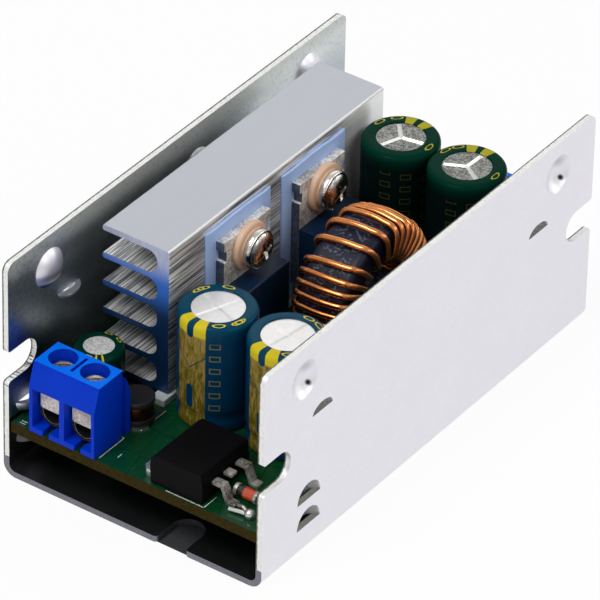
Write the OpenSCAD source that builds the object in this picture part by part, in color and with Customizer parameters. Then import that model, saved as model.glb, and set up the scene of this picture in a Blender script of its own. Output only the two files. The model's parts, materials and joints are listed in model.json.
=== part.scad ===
// Open-frame buck converter module: a folded aluminium case carries one circuit board,
// with a finned heatsink, two clamped power devices, a wound choke, five can capacitors
// and a two-way screw terminal at each end.
// X runs across the case, +Y towards the output end and +Z up; the origin is the middle
// of the case's underside.

/* [Case] */
// Length of the folded case
case_l = 74; // [71:0.5:90]
// Width over the two walls
case_w = 41; // [40.5:0.5:48]
// Height of the walls
case_h = 33; // [32.5:0.5:44]
// Thickness of the sheet
sheet_t = 0.9; // [0.7:0.1:1.1]
// Outer radius of the two long bends
bend_r = 1.9; // [1.4:0.1:3]
// Radius on the top corners of the walls
corner_r = 1.3; // [0.5:0.1:3]
// Width of the open-ended mounting notches
notch_w = 4.6; // [3.6:0.1:5.2]
// Depth of the notches from the case's end
notch_l = 5.9; // [4:0.1:6.5]
// Radius on the mouth corners of the notches
notch_mouth_r = 0.5; // [0.2:0.1:0.9]
// Height of the wall notches' centre line
notch_z = 17.1; // [15:0.1:18.5]
// Distance of the floor notches from the centre plane
floor_notch_x = 6.3; // [0:0.1:12]
// Distance of the round dimples from the ends
dimple_y = 8.6; // [7:0.1:11]
// Distance of the round dimples below the walls' top edge
dimple_drop = 5; // [4:0.1:6.5]
// Radius of the round dimples
dimple_r = 2.8; // [1.6:0.1:2.8]
// Depth of the round dimples
dimple_d = 1.3; // [0.6:0.1:1.3]
// Distance of the upper lances from the ends
upper_lance_y = 12.7; // [11.5:0.1:15]
// Distance of the upper lances' cuts below the walls' top edge
upper_lance_drop = 11.9; // [10:0.1:12.5]
// Half the length of an upper lance's cut
upper_lance_r = 2.2; // [1.8:0.1:2.5]
// Height of an upper lance
upper_lance_h = 1.3; // [1:0.1:2]
// Depth of the upper lances
upper_lance_d = 1.3; // [0.9:0.1:1.5]
// Distance of the right board lances from the input end
board_lance_y = 10.1; // [8:0.1:12]
// Distance of the left board lances from the input end
left_lance_y = 4; // [3.6:0.1:4.5]
// Half the length of a board lance's cut
lance_r = 2.5; // [2:0.1:2.8]
// Depth of the board lances
lance_d = 1.7; // [1.2:0.1:1.7]

/* [Board] */
// Clear height under the circuit board
board_gap = 6.1; // [5:0.1:7]
// Thickness of the circuit board
board_t = 1.6; // [1:0.1:2]
// Clearance between the board and each wall
board_side = 0.2; // [0.1:0.05:0.4]
// Distance of the board's edges inside the case's ends
board_inset = 0.2; // [0:0.1:1]
// Length of the leads below the board
lead_stub = 1.4; // [0.8:0.1:2]
// Radius of a round lead
lead_r = 0.3; // [0.2:0.05:0.4]

/* [Heatsink] */
// Length of the heatsink
heat_l = 47.5; // [44:0.5:50]
// Height of the heatsink
heat_h = 22.4; // [21.5:0.1:23]
// Depth of the heatsink over its fins
heat_d = 10.6; // [8:0.1:11]
// Thickness of the wall that carries the devices
heat_base_t = 1.9; // [1.6:0.1:2.6]
// Number of fins
fins = 6; // [4:1:7]
// Thickness of a fin
fin_t = 0.9; // [0.7:0.05:1.1]
// Distance of the heatsink from the case's input end
heat_y = 15.9; // [15.3:0.1:17]
// Place of the heatsink's device face across the case
heat_x = -6; // [-6.2:0.1:-5.9]
// Thickness of the rail under the heatsink
rail_t = 1; // [0.6:0.1:1.4]
// Width of the rail under the heatsink
rail_w = 2.1; // [1.8:0.1:2.3]

/* [Power devices] */
// Place of the two devices' middle along the case, as a share of its length
device_at = 0.5247; // [0.52:0.0001:0.53]
// Distance between the two devices
device_pitch = 16.65; // [15.5:0.05:18]
// Width of a device
device_w = 10.15; // [9.8:0.05:10.4]
// Height of a device without its leads
device_h = 15.8; // [15:0.1:16.2]
// Height of the bare tab above the moulding
tab_h = 6.9; // [6.7:0.1:7.2]
// Thickness of the tab
tab_t = 1.3; // [1:0.05:1.4]
// How far the moulding stands out from the tab
body_out = 3.2; // [2.9:0.1:3.4]
// Distance of a device's top below the heatsink's top
device_drop = 3.3; // [3:0.1:3.8]
// Width of a thermal pad
pad_w = 14; // [12:0.1:15]
// Height of a thermal pad
pad_h = 20; // [18:0.1:20.4]
// Thickness of a thermal pad
pad_t = 0.45; // [0.3:0.05:0.5]
// Outer diameter of a bushing's flange
bushing_d = 6.8; // [6.6:0.1:7.8]
// Thickness of a bushing's flange
bushing_t = 1.2; // [0.8:0.1:1.6]
// Thread diameter of the clamping screws
screw_d = 3; // [2.5:0.1:3.2]

/* [Terminals] */
// Distance between the two ways of a terminal
way_pitch = 5.08; // [5:0.02:5.2]
// Width of a terminal
terminal_w = 10.4; // [10.3:0.05:10.6]
// Depth of a terminal at its foot
terminal_d = 7.75; // [7.5:0.05:8]
// Height of a terminal
terminal_h = 10.5; // [10:0.1:11]
// Distance of each terminal from the wall beside it
terminal_side = 3.2; // [2.4:0.1:3.4]

/* [Capacitors] */
// Diameter of the four large cans
cap_d = 10.6; // [9.8:0.1:10.6]
// Height of the two input cans
input_cap_h = 16.4; // [14:0.1:24]
// Height of the two output cans
output_cap_h = 20.3; // [16:0.1:26]
// Diameter of the small can
bias_cap_d = 6.8; // [5:0.1:6.8]
// Height of the small can
bias_cap_h = 7.8; // [7:0.1:12]
// Thickness of the shrunk sleeve
sleeve_t = 0.16; // [0.1:0.01:0.2]

/* [Choke] */
// Outer radius of the ring core
core_r = 9.65; // [9:0.05:9.9]
// Bore radius of the ring core
core_bore_r = 5.6; // [5:0.1:6.2]
// Width of the ring core along its axis
core_w = 7.35; // [6.5:0.05:8]
// Diameter of the winding's wire
wire_d = 0.9; // [0.7:0.05:1]
// Number of turns
turns = 18; // [12:1:20]
// Place of the choke's axis along the case, as a share of its length
choke_at = 0.55; // [0.54:0.001:0.555]
// Place of the choke's middle across the case
choke_x = 6.67; // [6.2:0.05:8]

/* [Small parts] */
// Length of the surface-mount rectifier's moulding, leads aside
rect_l = 8.3; // [8:0.1:8.8]
// Width of the surface-mount rectifier's moulding
rect_w = 10.1; // [9.4:0.1:10.4]
// Height of the surface-mount rectifier
rect_h = 4.5; // [4.2:0.1:4.8]
// Diameter of the drum coil
drum_d = 4.6; // [4:0.1:4.8]
// Height of the drum coil
drum_h = 4; // [3.4:0.1:4.6]
// Diameter of the glass diode
diode_d = 1.6; // [1.3:0.1:1.8]
// Length of the glass diode
diode_l = 3.6; // [3.2:0.1:4]

/* [Hidden] */

$fn = 64;
eps = 0.01;
far = 60;                                  // reach of a cutting block past the part
seat = 0.02;                               // play where a rounded face meets a flat one
fit_gap = 0.15;                            // play of a lead in its hole

front = -case_l / 2;
rear = case_l / 2;
wall_in = case_w / 2 - sheet_t;            // inner face of a wall
board_w = 2 * (wall_in - board_side);
board_l = case_l - 2 * board_inset;
board_z = sheet_t + board_gap;             // underside of the board
board_top = board_z + board_t;
lead_tip = board_z - lead_stub;

notch_big = 2;                             // overrun of a notch past the case's edge
left_cut = 22.7;                           // height of the left wall's upper lance cuts
press_cut = 10.7;                          // height of the cut of the lance above the board
mid_dimple_y = 3.4;
mid_dimple_z = 26.6;
mid_dimple_r = 2.5;
solder_r = 0.95;
solder_h = 0.8;

// Capacitor seats: across the case, and along it as a share of its length
input_left_x = 0.1;
input_right_x = 10.75;
output_left_x = -0.2;
output_right_x = 10.5;
input_left_at = 0.2466;
input_right_at = 0.252;
output_left_at = 0.8;
output_right_at = 0.7959;
bias_side = 5.5;                           // bias can's middle from the left wall
bias_end = 11.85;                             // and from the input end
input_left_xy = [input_left_x, front + input_left_at * case_l];
input_right_xy = [input_right_x, front + input_right_at * case_l];
output_left_xy = [output_left_x, front + output_left_at * case_l];
output_right_xy = [output_right_x, front + output_right_at * case_l];
bias_xy = [bias_side - wall_in, front + bias_end];
cap_pitch = 5;
bias_pitch = 2.5;
can_edge_r = 0.7;                          // rounding of a can's top edge
can_lift = 0.2;                            // can's rolled edge above the board
crimp_z = 2.3;
crimp_r = 0.8;
crimp_depth = 0.35;
bung_t = 1.5;
bung_wall = 0.35;
rim_share = 0.62;                          // clear share of the can's radius inside the sleeve's rim
score_w = 0.3;
score_d = 0.15;
score_share = 0.92;

// Heatsink and devices
heat_front = front + heat_y;
heat_z = board_top + rail_t;
heat_top = heat_z + heat_h;
fin_pitch = (heat_h - fin_t) / (fins - 1);
fin_gap = fin_pitch - fin_t;
fin_tip_r = 0.3;
gap_root_r = min(1.5, fin_gap / 2 - eps);
device_top = heat_top - device_drop;
device_z = device_top - device_h;
hole_drop = 2.75;
device_hole_z = device_top - hole_drop;
tab_hole_d = 3.8;
tab_notch_d = 0.5;
tab_notch_h = 1.6;
tab_notch_drop = 2.2;                      // middle of the side notches below the tab's top
tab_back = heat_x + pad_t;
tab_front = tab_back + tab_t;
body_front = tab_front + body_out;
body_z = device_top - tab_h;               // top of the moulding
body_draft = 0.35;
pad_over = 2;                              // pad's rise above the tab
screw_head_d = 5.5;
screw_head_h = 1.8;
thread_clear = 0.1;
recess_d = 1.2;
recess_share = 0.29;                       // cross recess' reach as a share of the head
device_lead_pitch = 2.54;
device_lead_x = tab_back + 2.5;
device_lead_t = 0.5;
device_lead_w = 1.3;
device_lead_slim = 0.8;
device_lead_step = 2.4;                    // length of the lead's wide part

// Rail under the heatsink
rail_x = heat_x + 0.45;
rail_lead = 1.5;                           // overhang of the rail at each end of the heatsink
rail_pin_r = 0.5;

// Terminal
terminal_inset = 0.1;
terminal_x = wall_in - terminal_side - terminal_w / 2;
terminal_knee_z = 6.5;
terminal_top_back = 6.1;
terminal_top_front = 1.1;
visor_z = 7.9;
cell_w = 4.3;
cell_depth = 6.3;
cell_floor = 0.8;
cell_roof = 7.6;
foot_slot_w = 1;
foot_slot_l = 3;
bore_y = 3.75;
bore_d = 3.9;
mark_w = 0.45;
mark_l = 3.4;
mark_d = 0.6;
key_w = 1;
key_d = 0.45;
key_y = 6.2;
cage_half = 1.95;
cage_t = 0.4;
cage_y = 1.5;
cage_l = 4.4;
cage_bend_z = 3;
cage_top = 7.45;
cage_plate_z = 4.75;
clamp_screw_d = 2.8;
clamp_head_d = 3.6;
clamp_head_z = 7.5;
clamp_head_h = 1.5;
clamp_tip_z = 3.9;
slot_w = 0.6;
slot_d = 0.7;
pin_w = 1;
pin_y = 3.9;

// Choke winding: a turn is a rounded rectangle around the core's section
choke_y = front + choke_at * case_l;
choke_z = board_top + core_r;
winding_play = 0.06;
turn_out = core_r + wire_d / 2 + winding_play;
turn_in = core_bore_r - wire_d / 2 - winding_play;
turn_half = core_w / 2 + wire_d / 2 + winding_play;
turn_corner = 1.1;
first_angle = -9.3;                        // from -Y, rising towards +Z
turn_step = 9;
turn_loose = 27.3;                         // how far the loose turns spread beyond that step
loose_from = 5.86;
loose_turns = 3;
corner_steps = 2;
ring_sides = 8;
core_edge = 0.7;

// Rectifier: its left edge and middle, from the right wall and the input end
rect_side = 17.2;
rect_end = 5.7;
rect_x = wall_in - rect_side;
rect_y = front + rect_end;
rect_tab_t = 1.27;
rect_tab_out = 1.7;
rect_tab_in = 6;
rect_tab_w = 8.8;
rect_lead_z = 2.5;
rect_lead_t = 0.5;
rect_lead_w = 1.3;
rect_lead_pitch = 2.54;
rect_lead_flat = 1.7;
rect_stub = 1.3;
rect_lead_run = 0.8;
rect_lead_foot = 1.1;
rect_chamfer = 0.7;
rect_edge = 0.25;

// Drum coil, diode and jumper
drum_x = -6.75;
drum_end = 10.35;
drum_xy = [drum_x, front + drum_end];
drum_flange = 0.9;
drum_waist = 0.6;
drum_base_t = 0.3;
diode_side = 5.15;
diode_end = 5.2;
diode_xy = [wall_in - diode_side, front + diode_end];
diode_end_l = 0.55;
diode_end_wall = 0.1;
jumper_r = 0.3;
jumper_side = 2.7;
jumper_end = 2.3;
// Start and bend of each wire, measured from the blob
jumper_bends = [
  [[-2.45, 0.85, 0.34], [-1.5, 0.6, 0.6]],
  [[-2.9, -0.45, 0.34], [-1.4, -0.25, 0.45]]
];
blob_r = 0.75;
blob_sink = 0.25;

// Controller and chip parts, in the lane between the choke and the right wall
lane_x = (choke_x + turn_half + wire_d / 2 + wall_in) / 2;
controller_back = 4.7;                     // controller's middle in front of the choke's axis
controller_y = choke_y - controller_back;
controller_w = 3.9;
controller_l = 4.9;
controller_h = 1.6;
controller_lift = 0.1;
controller_pitch = 1.27;
controller_lead_w = 0.42;
controller_lead_t = 0.22;
controller_lead_z = 0.85;
controller_span = 6;
chip_l = 2;
chip_w = 1.25;
chip_h = 0.55;
chip_pitch = 2.3;
chip_ahead = 1.8;                          // first chip resistor behind the choke's axis
chip_y = choke_y + chip_ahead;
ceramic_l = 3.2;
ceramic_w = 1.6;
ceramic_h = 1.2;
ceramic_pitch = 2.4;
ceramic_back = 14.2;
ceramic_y = choke_y - ceramic_back;
resistors = 4;
ceramics = 3;

// ---- shared shapes ----

function cap_sphere_r(a, d) = (a * a + d * d) / (2 * d);

// Wire holes that every soldered piece needs: [x, y, radius]
function pair(xy, pitch) = [for (s = [-1, 1]) [xy[0] + s * pitch / 2, xy[1], lead_r + fit_gap]];
function device_ys() = [for (s = [-1, 1]) front + device_at * case_l + s * device_pitch / 2];
function device_holes() = [
  for (y = device_ys(), i = [-1, 0, 1])
    [device_lead_x, y + i * device_lead_pitch, device_lead_slim / 2 + fit_gap]
];
function terminal_holes(x, y, turn) = [
  for (s = [-1, 1]) [x + s * way_pitch / 2, y + turn * pin_y, pin_w * sqrt(2) / 2 + fit_gap]
];
function rail_ys() = [heat_front - rail_lead / 2, heat_front + heat_l + rail_lead / 2];
function board_holes() = concat(
  pair(input_left_xy, cap_pitch),
  pair(input_right_xy, cap_pitch),
  pair(output_left_xy, cap_pitch),
  pair(output_right_xy, cap_pitch),
  pair(bias_xy, bias_pitch),
  device_holes(),
  terminal_holes(-terminal_x, front + terminal_inset, 1),
  terminal_holes(terminal_x, rear - terminal_inset, -1),
  [for (y = rail_ys()) [rail_x - rail_w / 2, y, rail_pin_r + fit_gap]],
  [for (p = [tail_start(), tail_end()]) [p[0], p[1], wire_d / 2 + fit_gap]]
);

// Solder fillet under the board, around a lead that stands on the local origin
module solder(x, y) {
  translate([x, y, board_z - solder_h])
    cylinder(r1 = solder_r / 2, r2 = solder_r, h = solder_h);
}

module round_lead(x, y, top, r = lead_r) {
  translate([x, y, lead_tip])
    cylinder(r = r, h = top - lead_tip);
  solder(x, y);
}

// ---- folded case ----

module bent_outline(half, top, r) {
  translate([-half + r, 0])
    square([2 * (half - r), top]);
  translate([-half, r])
    square([2 * half, top - r]);
  for (s = [-1, 1])
    translate([s * (half - r), r])
      circle(r);
}

module channel_section() {
  difference() {
    bent_outline(case_w / 2, case_h, bend_r);
    translate([0, sheet_t])
      bent_outline(wall_in, case_h, max(bend_r - sheet_t, eps));
  }
}

// Open-ended notch seen from above its face; the case's end is the line x = 0
module notch_outline() {
  r = notch_w / 2;
  translate([notch_l - r, 0])
    circle(r);
  translate([-notch_big, -r])
    square([notch_big + notch_l - r, notch_w]);
  for (s = [-1, 1])
    mirror([0, s < 0 ? 1 : 0])
      difference() {
        translate([-notch_big, r - eps])
          square([notch_big + notch_mouth_r, notch_mouth_r + eps]);
        translate([notch_mouth_r, r + notch_mouth_r])
          circle(notch_mouth_r);
      }
}

module corner_outline() {
  difference() {
    translate([-notch_big, 0])
      square([notch_big + corner_r, corner_r + notch_big]);
    translate([corner_r, 0])
      circle(corner_r);
  }
}

// Both walls are cut by one block that runs across the case at its input end
module end_cuts() {
  translate([case_w, front, 0])
    rotate([90, 0, -90])
      mirror([1, 0, 0])
        linear_extrude(2 * case_w) {
          translate([0, notch_z])
            notch_outline();
          translate([0, case_h - corner_r])
            corner_outline();
        }
  translate([floor_notch_x, front, -notch_big])
    rotate([0, 0, 90])
      linear_extrude(notch_big + bend_r)
        notch_outline();
}

// Domed dent in the right wall: solid side (inner) or hollow side (outer). rise is its
// height above its middle, or above its cut; side is 0 for a whole dome, 1 for a dome that
// is cut off underneath and -1 for one that is cut off on top.
module dent(y, z, a, rise, d, side, hollow) {
  big_r = cap_sphere_r(a, d);
  shift = hollow ? sheet_t : 0;
  depth_out = hollow ? sheet_t + 2 * big_r : sheet_t / 2;
  translate([wall_in, y, z])
    scale([1, 1, rise / a])
      intersection() {
        translate([shift - d + big_r, 0, 0])
          sphere(big_r);
        translate([-2 * big_r, -2 * big_r, side > 0 ? 0 : -4 * big_r])
          cube([2 * big_r + depth_out, 4 * big_r, side == 0 ? 8 * big_r : 4 * big_r]);
      }
}

// Height of the carrying lances' cuts, so that their domes just meet the board's edge
function carry_cut() =
  let (big_r = cap_sphere_r(lance_r, lance_d), x = big_r - lance_d + board_side)
    board_z - sqrt(big_r * big_r - x * x) - seat;

// Height of a lance that is cut on top and just meets the board from above
function press_rise() =
  let (big_r = cap_sphere_r(lance_r, lance_d), x = big_r - lance_d + board_side)
    (press_cut - board_top - seat) * lance_r / sqrt(big_r * big_r - x * x);

module end_dents(hollow, cut_z, side) {
  dent(front + dimple_y, case_h - dimple_drop, dimple_r, dimple_r, dimple_d, 0, hollow);
  dent(front + upper_lance_y, cut_z, upper_lance_r, upper_lance_h, upper_lance_d, side, hollow);
}

module right_dents(hollow) {
  for (my = [0, 1])
    mirror([0, my, 0])
      end_dents(hollow, case_h - upper_lance_drop, 1);
  dent(front + board_lance_y, board_top, lance_r, lance_r, lance_d, 1, hollow);
  dent(front + board_lance_y, carry_cut(), lance_r, lance_r, lance_d, 1, hollow);
}

// The left wall's lances are cut on top; it has one more dimple beside the heatsink
module left_dents(hollow) {
  mirror([1, 0, 0]) {
    for (my = [0, 1])
      mirror([0, my, 0])
        end_dents(hollow, left_cut, -1);
    dent(mid_dimple_y, mid_dimple_z, mid_dimple_r, mid_dimple_r, dimple_d, 0, hollow);
    dent(front + left_lance_y, press_cut, lance_r, press_rise(), lance_d, -1, hollow);
    dent(front + left_lance_y, carry_cut(), lance_r, lance_r, lance_d, 1, hollow);
  }
}

module case_channel() {
  color([0.86, 0.85, 0.89])
    difference() {
      union() {
        translate([0, rear, 0])
          rotate([90, 0, 0])
            linear_extrude(case_l)
              channel_section();
        right_dents(false);
        left_dents(false);
      }
      right_dents(true);
      left_dents(true);
      end_cuts();
      rotate([0, 0, 180])
        end_cuts();
    }
}

// ---- circuit board ----

module circuit_board() {
  color([0.05, 0.32, 0.17])
    difference() {
      translate([-board_w / 2, -board_l / 2, board_z])
        cube([board_w, board_l, board_t]);
      for (h = board_holes())
        translate([h[0], h[1], board_z - board_t])
          cylinder(r = h[2], h = 3 * board_t);
    }
}

// ---- heatsink, its rail and the clamped devices ----

// One gap between two fins, open towards the fin tips at x = 0
module fin_gap_outline() {
  deep = heat_d - heat_base_t;
  translate([-notch_big, 0])
    square([notch_big + deep - gap_root_r, fin_gap]);
  translate([0, gap_root_r])
    square([deep, fin_gap - 2 * gap_root_r]);
  for (z = [gap_root_r, fin_gap - gap_root_r])
    translate([deep - gap_root_r, z])
      circle(gap_root_r);
}

// Rounds both corners of one fin's tip
module fin_tip_outline() {
  difference() {
    translate([-notch_big, -eps])
      square([notch_big + fin_tip_r, fin_t + 2 * eps]);
    translate([fin_tip_r, fin_tip_r])
      circle(fin_tip_r);
    translate([fin_tip_r, fin_t - fin_tip_r])
      circle(fin_tip_r);
    translate([0, fin_tip_r])
      square([fin_tip_r + eps, fin_t - 2 * fin_tip_r]);
  }
}

module heatsink_section() {
  difference() {
    square([heat_d, heat_h]);
    for (i = [0:fins - 2])
      translate([0, fin_t + i * fin_pitch])
        fin_gap_outline();
    for (i = [0:fins - 1])
      translate([0, i * fin_pitch])
        fin_tip_outline();
  }
}

module heatsink() {
  color([0.74, 0.75, 0.77])
    difference() {
      translate([heat_x - heat_d, heat_front + heat_l, heat_z])
        rotate([90, 0, 0])
          linear_extrude(heat_l)
            heatsink_section();
      for (y = device_ys())
        translate([heat_x - heat_base_t - eps, y, device_hole_z])
          rotate([0, 90, 0])
            cylinder(d = screw_d + thread_clear, h = heat_base_t + 2 * eps);
    }
}

module heatsink_rail() {
  color([0.85, 0.85, 0.84]) {
    translate([rail_x - rail_w, heat_front - rail_lead, board_top])
      cube([rail_w, heat_l + 2 * rail_lead, rail_t]);
    for (y = rail_ys())
      round_lead(rail_x - rail_w / 2, y, board_top + rail_t / 2, rail_pin_r);
  }
}

module thermal_pad(y) {
  color([0.62, 0.74, 0.93])
    difference() {
      translate([heat_x, y - pad_w / 2, device_top + pad_over - pad_h])
        cube([pad_t, pad_w, pad_h]);
      translate([heat_x - eps, y, device_hole_z])
        rotate([0, 90, 0])
          cylinder(d = tab_hole_d, h = pad_t + 2 * eps);
    }
}

// Bare copper-alloy tab with a notch in each side
module device_tab(y) {
  color([0.8, 0.79, 0.76])
    difference() {
      translate([tab_back, y - device_w / 2, device_z])
        cube([tab_t, device_w, device_h]);
      translate([tab_back - eps, y, device_hole_z])
        rotate([0, 90, 0])
          cylinder(d = tab_hole_d, h = tab_t + 2 * eps);
      for (s = [-1, 1])
        translate([tab_back + tab_t / 2, y + s * device_w / 2, device_top - tab_notch_drop])
          cube([tab_t + 2 * eps, 2 * tab_notch_d, tab_notch_h], center = true);
    }
}

// Moulding on the tab's front, drafted on its top and bottom
module device_body(y) {
  color([0.1, 0.1, 0.11])
    translate([0, y + device_w / 2, 0])
      rotate([90, 0, 0])
        linear_extrude(device_w)
          polygon([
            [tab_front, device_z],
            [body_front - body_draft, device_z],
            [body_front, device_z + body_draft],
            [body_front, body_z - body_draft / 2],
            [body_front - body_draft / 2, body_z],
            [tab_front, body_z]
          ]);
}

module device_leads(y) {
  color([0.82, 0.82, 0.8])
    for (i = [-1, 0, 1])
      translate([0, y + i * device_lead_pitch, 0]) {
        translate([device_lead_x - device_lead_t / 2, -device_lead_w / 2, device_z - device_lead_step])
          cube([device_lead_t, device_lead_w, device_lead_step]);
        translate([device_lead_x - device_lead_t / 2, -device_lead_slim / 2, lead_tip])
          cube([device_lead_t, device_lead_slim, device_z - lead_tip]);
        solder(device_lead_x, 0);
      }
}

module bushing(y) {
  sleeve_r = tab_hole_d / 2 - fit_gap / 2;
  color([0.86, 0.72, 0.53])
    translate([tab_front, y, device_hole_z])
      rotate([0, 90, 0])
        difference() {
          union() {
            cylinder(d = bushing_d, h = bushing_t);
            translate([0, 0, -tab_t])
              cylinder(r = sleeve_r, h = tab_t + eps);
          }
          translate([0, 0, -2 * tab_t])
            cylinder(d = screw_d + fit_gap, h = 2 * tab_t + 2 * bushing_t);
        }
}

// Pan-head screw: the head's underside is the local origin, the shank points down
module pan_screw(d, shank, head_d, head_h) {
  edge = head_h / 2;
  difference() {
    union() {
      rotate_extrude() {
        square([head_d / 2 - edge, head_h]);
        square([head_d / 2, head_h - edge]);
        intersection() {
          translate([head_d / 2 - edge, head_h - edge])
            circle(edge);
          square([head_d / 2, head_h]);
        }
      }
      translate([0, 0, -shank])
        cylinder(d = d, h = shank + eps);
    }
    intersection() {
      for (a = [0, 90])
        rotate([0, 0, a])
          translate([-head_d / 2, -slot_w / 2, head_h - recess_d])
            cube([head_d, slot_w, recess_d + eps]);
      translate([0, 0, head_h - recess_d])
        cylinder(r1 = slot_w / 2, r2 = head_d * recess_share, h = recess_d + eps);
    }
  }
}

module device_screws() {
  color([0.78, 0.76, 0.72])
    for (y = device_ys())
      translate([tab_front + bushing_t, y, device_hole_z])
        rotate([0, 90, 0])
          pan_screw(screw_d, bushing_t + tab_t + pad_t + heat_base_t, screw_head_d, screw_head_h);
}

// ---- screw terminals: local origin at the foot of the wire side, wires enter along +Y ----

module terminal_side() {
  polygon([
    [0, 0],
    [terminal_d, 0],
    [terminal_d, terminal_knee_z],
    [terminal_top_back, terminal_h],
    [terminal_top_front, terminal_h],
    [0, visor_z]
  ]);
}

module terminal_housing() {
  difference() {
    union() {
      translate([-terminal_w / 2, 0, 0])
        rotate([90, 0, 90])
          linear_extrude(terminal_w)
            terminal_side();
      translate([-terminal_w / 2 - key_d, key_y - key_w / 2 + fit_gap / 2, 0])
        cube([2 * key_d, key_w - fit_gap, terminal_knee_z]);
    }
    for (s = [-1, 1])
      translate([s * way_pitch / 2, 0, 0]) {
        translate([-cell_w / 2, -eps, cell_floor])
          cube([cell_w, cell_depth, cell_roof - cell_floor]);
        translate([-foot_slot_w / 2, -eps, -eps])
          cube([foot_slot_w, foot_slot_l, 2 * cell_floor]);
        translate([0, bore_y, cell_roof - eps])
          cylinder(d = bore_d, h = terminal_h);
        translate([-pin_w / 2 - fit_gap, pin_y - pin_w / 2 - fit_gap, -eps])
          cube([pin_w + 2 * fit_gap, pin_w + 2 * fit_gap, 2 * cell_floor]);
      }
    translate([-mark_w / 2, bore_y - mark_l / 2, terminal_h - mark_d])
      cube([mark_w, mark_l, 2 * mark_d]);
    translate([terminal_w / 2 - key_d, key_y - key_w / 2, -eps])
      cube([2 * key_d, key_w, terminal_h]);
  }
}

// Clamp cage: a plate with a round-bottomed window for the wire and a tapped roof
module cage_outline(half, top) {
  translate([0, cage_bend_z])
    circle(half);
  translate([-half, cage_bend_z])
    square([2 * half, top - cage_bend_z]);
}

module terminal_cages() {
  for (s = [-1, 1])
    translate([s * way_pitch / 2, 0, 0])
      difference() {
        translate([0, cage_y + cage_l, 0])
          rotate([90, 0, 0])
            linear_extrude(cage_l)
              difference() {
                cage_outline(cage_half, cage_top);
                cage_outline(cage_half - cage_t, cage_plate_z);
              }
        translate([0, bore_y, cage_plate_z - eps])
          cylinder(d = clamp_screw_d + thread_clear, h = cage_top);
      }
}

module terminal_screws() {
  for (s = [-1, 1])
    translate([s * way_pitch / 2, bore_y, clamp_head_z])
      difference() {
        union() {
          cylinder(d = clamp_head_d, h = clamp_head_h);
          translate([0, 0, clamp_tip_z - clamp_head_z])
            cylinder(d = clamp_screw_d, h = clamp_head_z - clamp_tip_z + eps);
        }
        translate([-clamp_head_d, -slot_w / 2, clamp_head_h - slot_d])
          cube([2 * clamp_head_d, slot_w, 2 * slot_d]);
      }
}

// Solder pins under the cages; they pass the housing's floor and the board
module terminal_pins() {
  cage_foot = cage_bend_z - cage_half;
  for (s = [-1, 1]) {
    translate([s * way_pitch / 2 - pin_w / 2, pin_y - pin_w / 2, lead_tip - board_top])
      cube([pin_w, pin_w, cage_foot - seat - lead_tip + board_top]);
    translate([s * way_pitch / 2, pin_y, -board_t - solder_h])
      cylinder(r1 = pin_w / 2 + fit_gap, r2 = solder_r + pin_w / 2, h = solder_h);
  }
}

module at_input() {
  translate([-terminal_x, front + terminal_inset, board_top])
    children();
}

module at_output() {
  translate([terminal_x, rear - terminal_inset, board_top])
    rotate([0, 0, 180])
      children();
}

module input_terminal_housing() { color([0.02, 0.2, 0.85]) at_input() terminal_housing(); }
module input_terminal_cages() { color([0.8, 0.79, 0.77]) at_input() terminal_cages(); }
module input_terminal_screws() { color([0.82, 0.82, 0.82]) at_input() terminal_screws(); }
module input_terminal_pins() { color([0.82, 0.82, 0.8]) at_input() terminal_pins(); }
module output_terminal_housing() { color([0.02, 0.2, 0.85]) at_output() terminal_housing(); }
module output_terminal_cages() { color([0.8, 0.79, 0.77]) at_output() terminal_cages(); }
module output_terminal_screws() { color([0.82, 0.82, 0.82]) at_output() terminal_screws(); }
module output_terminal_pins() { color([0.82, 0.82, 0.8]) at_output() terminal_pins(); }

// ---- can capacitors ----

// Half section of a can with its rolled crimp, from its edge up
module can_outline(r, bottom, top) {
  difference() {
    union() {
      translate([0, bottom])
        square([r - can_edge_r, top - bottom]);
      translate([0, bottom])
        square([r, top - bottom - can_edge_r]);
      translate([r - can_edge_r, top - can_edge_r])
        circle(can_edge_r);
    }
    translate([r + crimp_r - crimp_depth, crimp_z])
      circle(crimp_r);
  }
}

// Aluminium can; arms is the number of vent scores that meet at the middle of its top,
// and turn is the first one's angle from +X
module can(xy, d, h, arms, turn) {
  r = d / 2 - sleeve_t;
  top = h - sleeve_t;
  color([0.84, 0.84, 0.83])
    translate([xy[0], xy[1], board_top])
      difference() {
        rotate_extrude()
          can_outline(r, can_lift, top);
        translate([0, 0, -eps])
          cylinder(r = r - bung_wall, h = bung_t + eps);
        for (i = [0:1:arms - 1])
          rotate([0, 0, i * 360 / arms + turn])
            translate([-score_w / 2, -score_w / 2, top - score_d])
              cube([r * rim_share * score_share, score_w, 2 * score_d]);
      }
}

// Shrunk sleeve: follows the can and turns in over its top and bottom edges
module sleeve(xy, d, h, tint) {
  r = d / 2;
  color(tint)
    translate([xy[0], xy[1], board_top])
      rotate_extrude()
        difference() {
          can_outline(r, seat, h);
          can_outline(r - sleeve_t, can_lift, h - sleeve_t);
          translate([-eps, -eps])
            square([r * rim_share, h + 2 * eps]);
          translate([-eps, -eps])
            square([r - bung_wall - sleeve_t, bung_t]);
        }
}

module bung(xy, d) {
  color([0.09, 0.09, 0.09])
    translate([xy[0], xy[1], board_top + can_lift / 2])
      cylinder(r = d / 2 - sleeve_t - bung_wall - seat, h = bung_t - can_lift / 2 - seat);
}

module can_leads(xy, pitch) {
  color([0.82, 0.82, 0.8])
    for (s = [-1, 1])
      round_lead(xy[0] + s * pitch / 2, xy[1], board_top + can_lift / 2);
}

teal = [0.03, 0.36, 0.45];
green = [0.02, 0.24, 0.17];
cross_arms = 4;
star_arms = 3;
input_left_turn = 68;
input_right_turn = 81;
output_left_turn = 10;
output_right_turn = 87;

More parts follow.
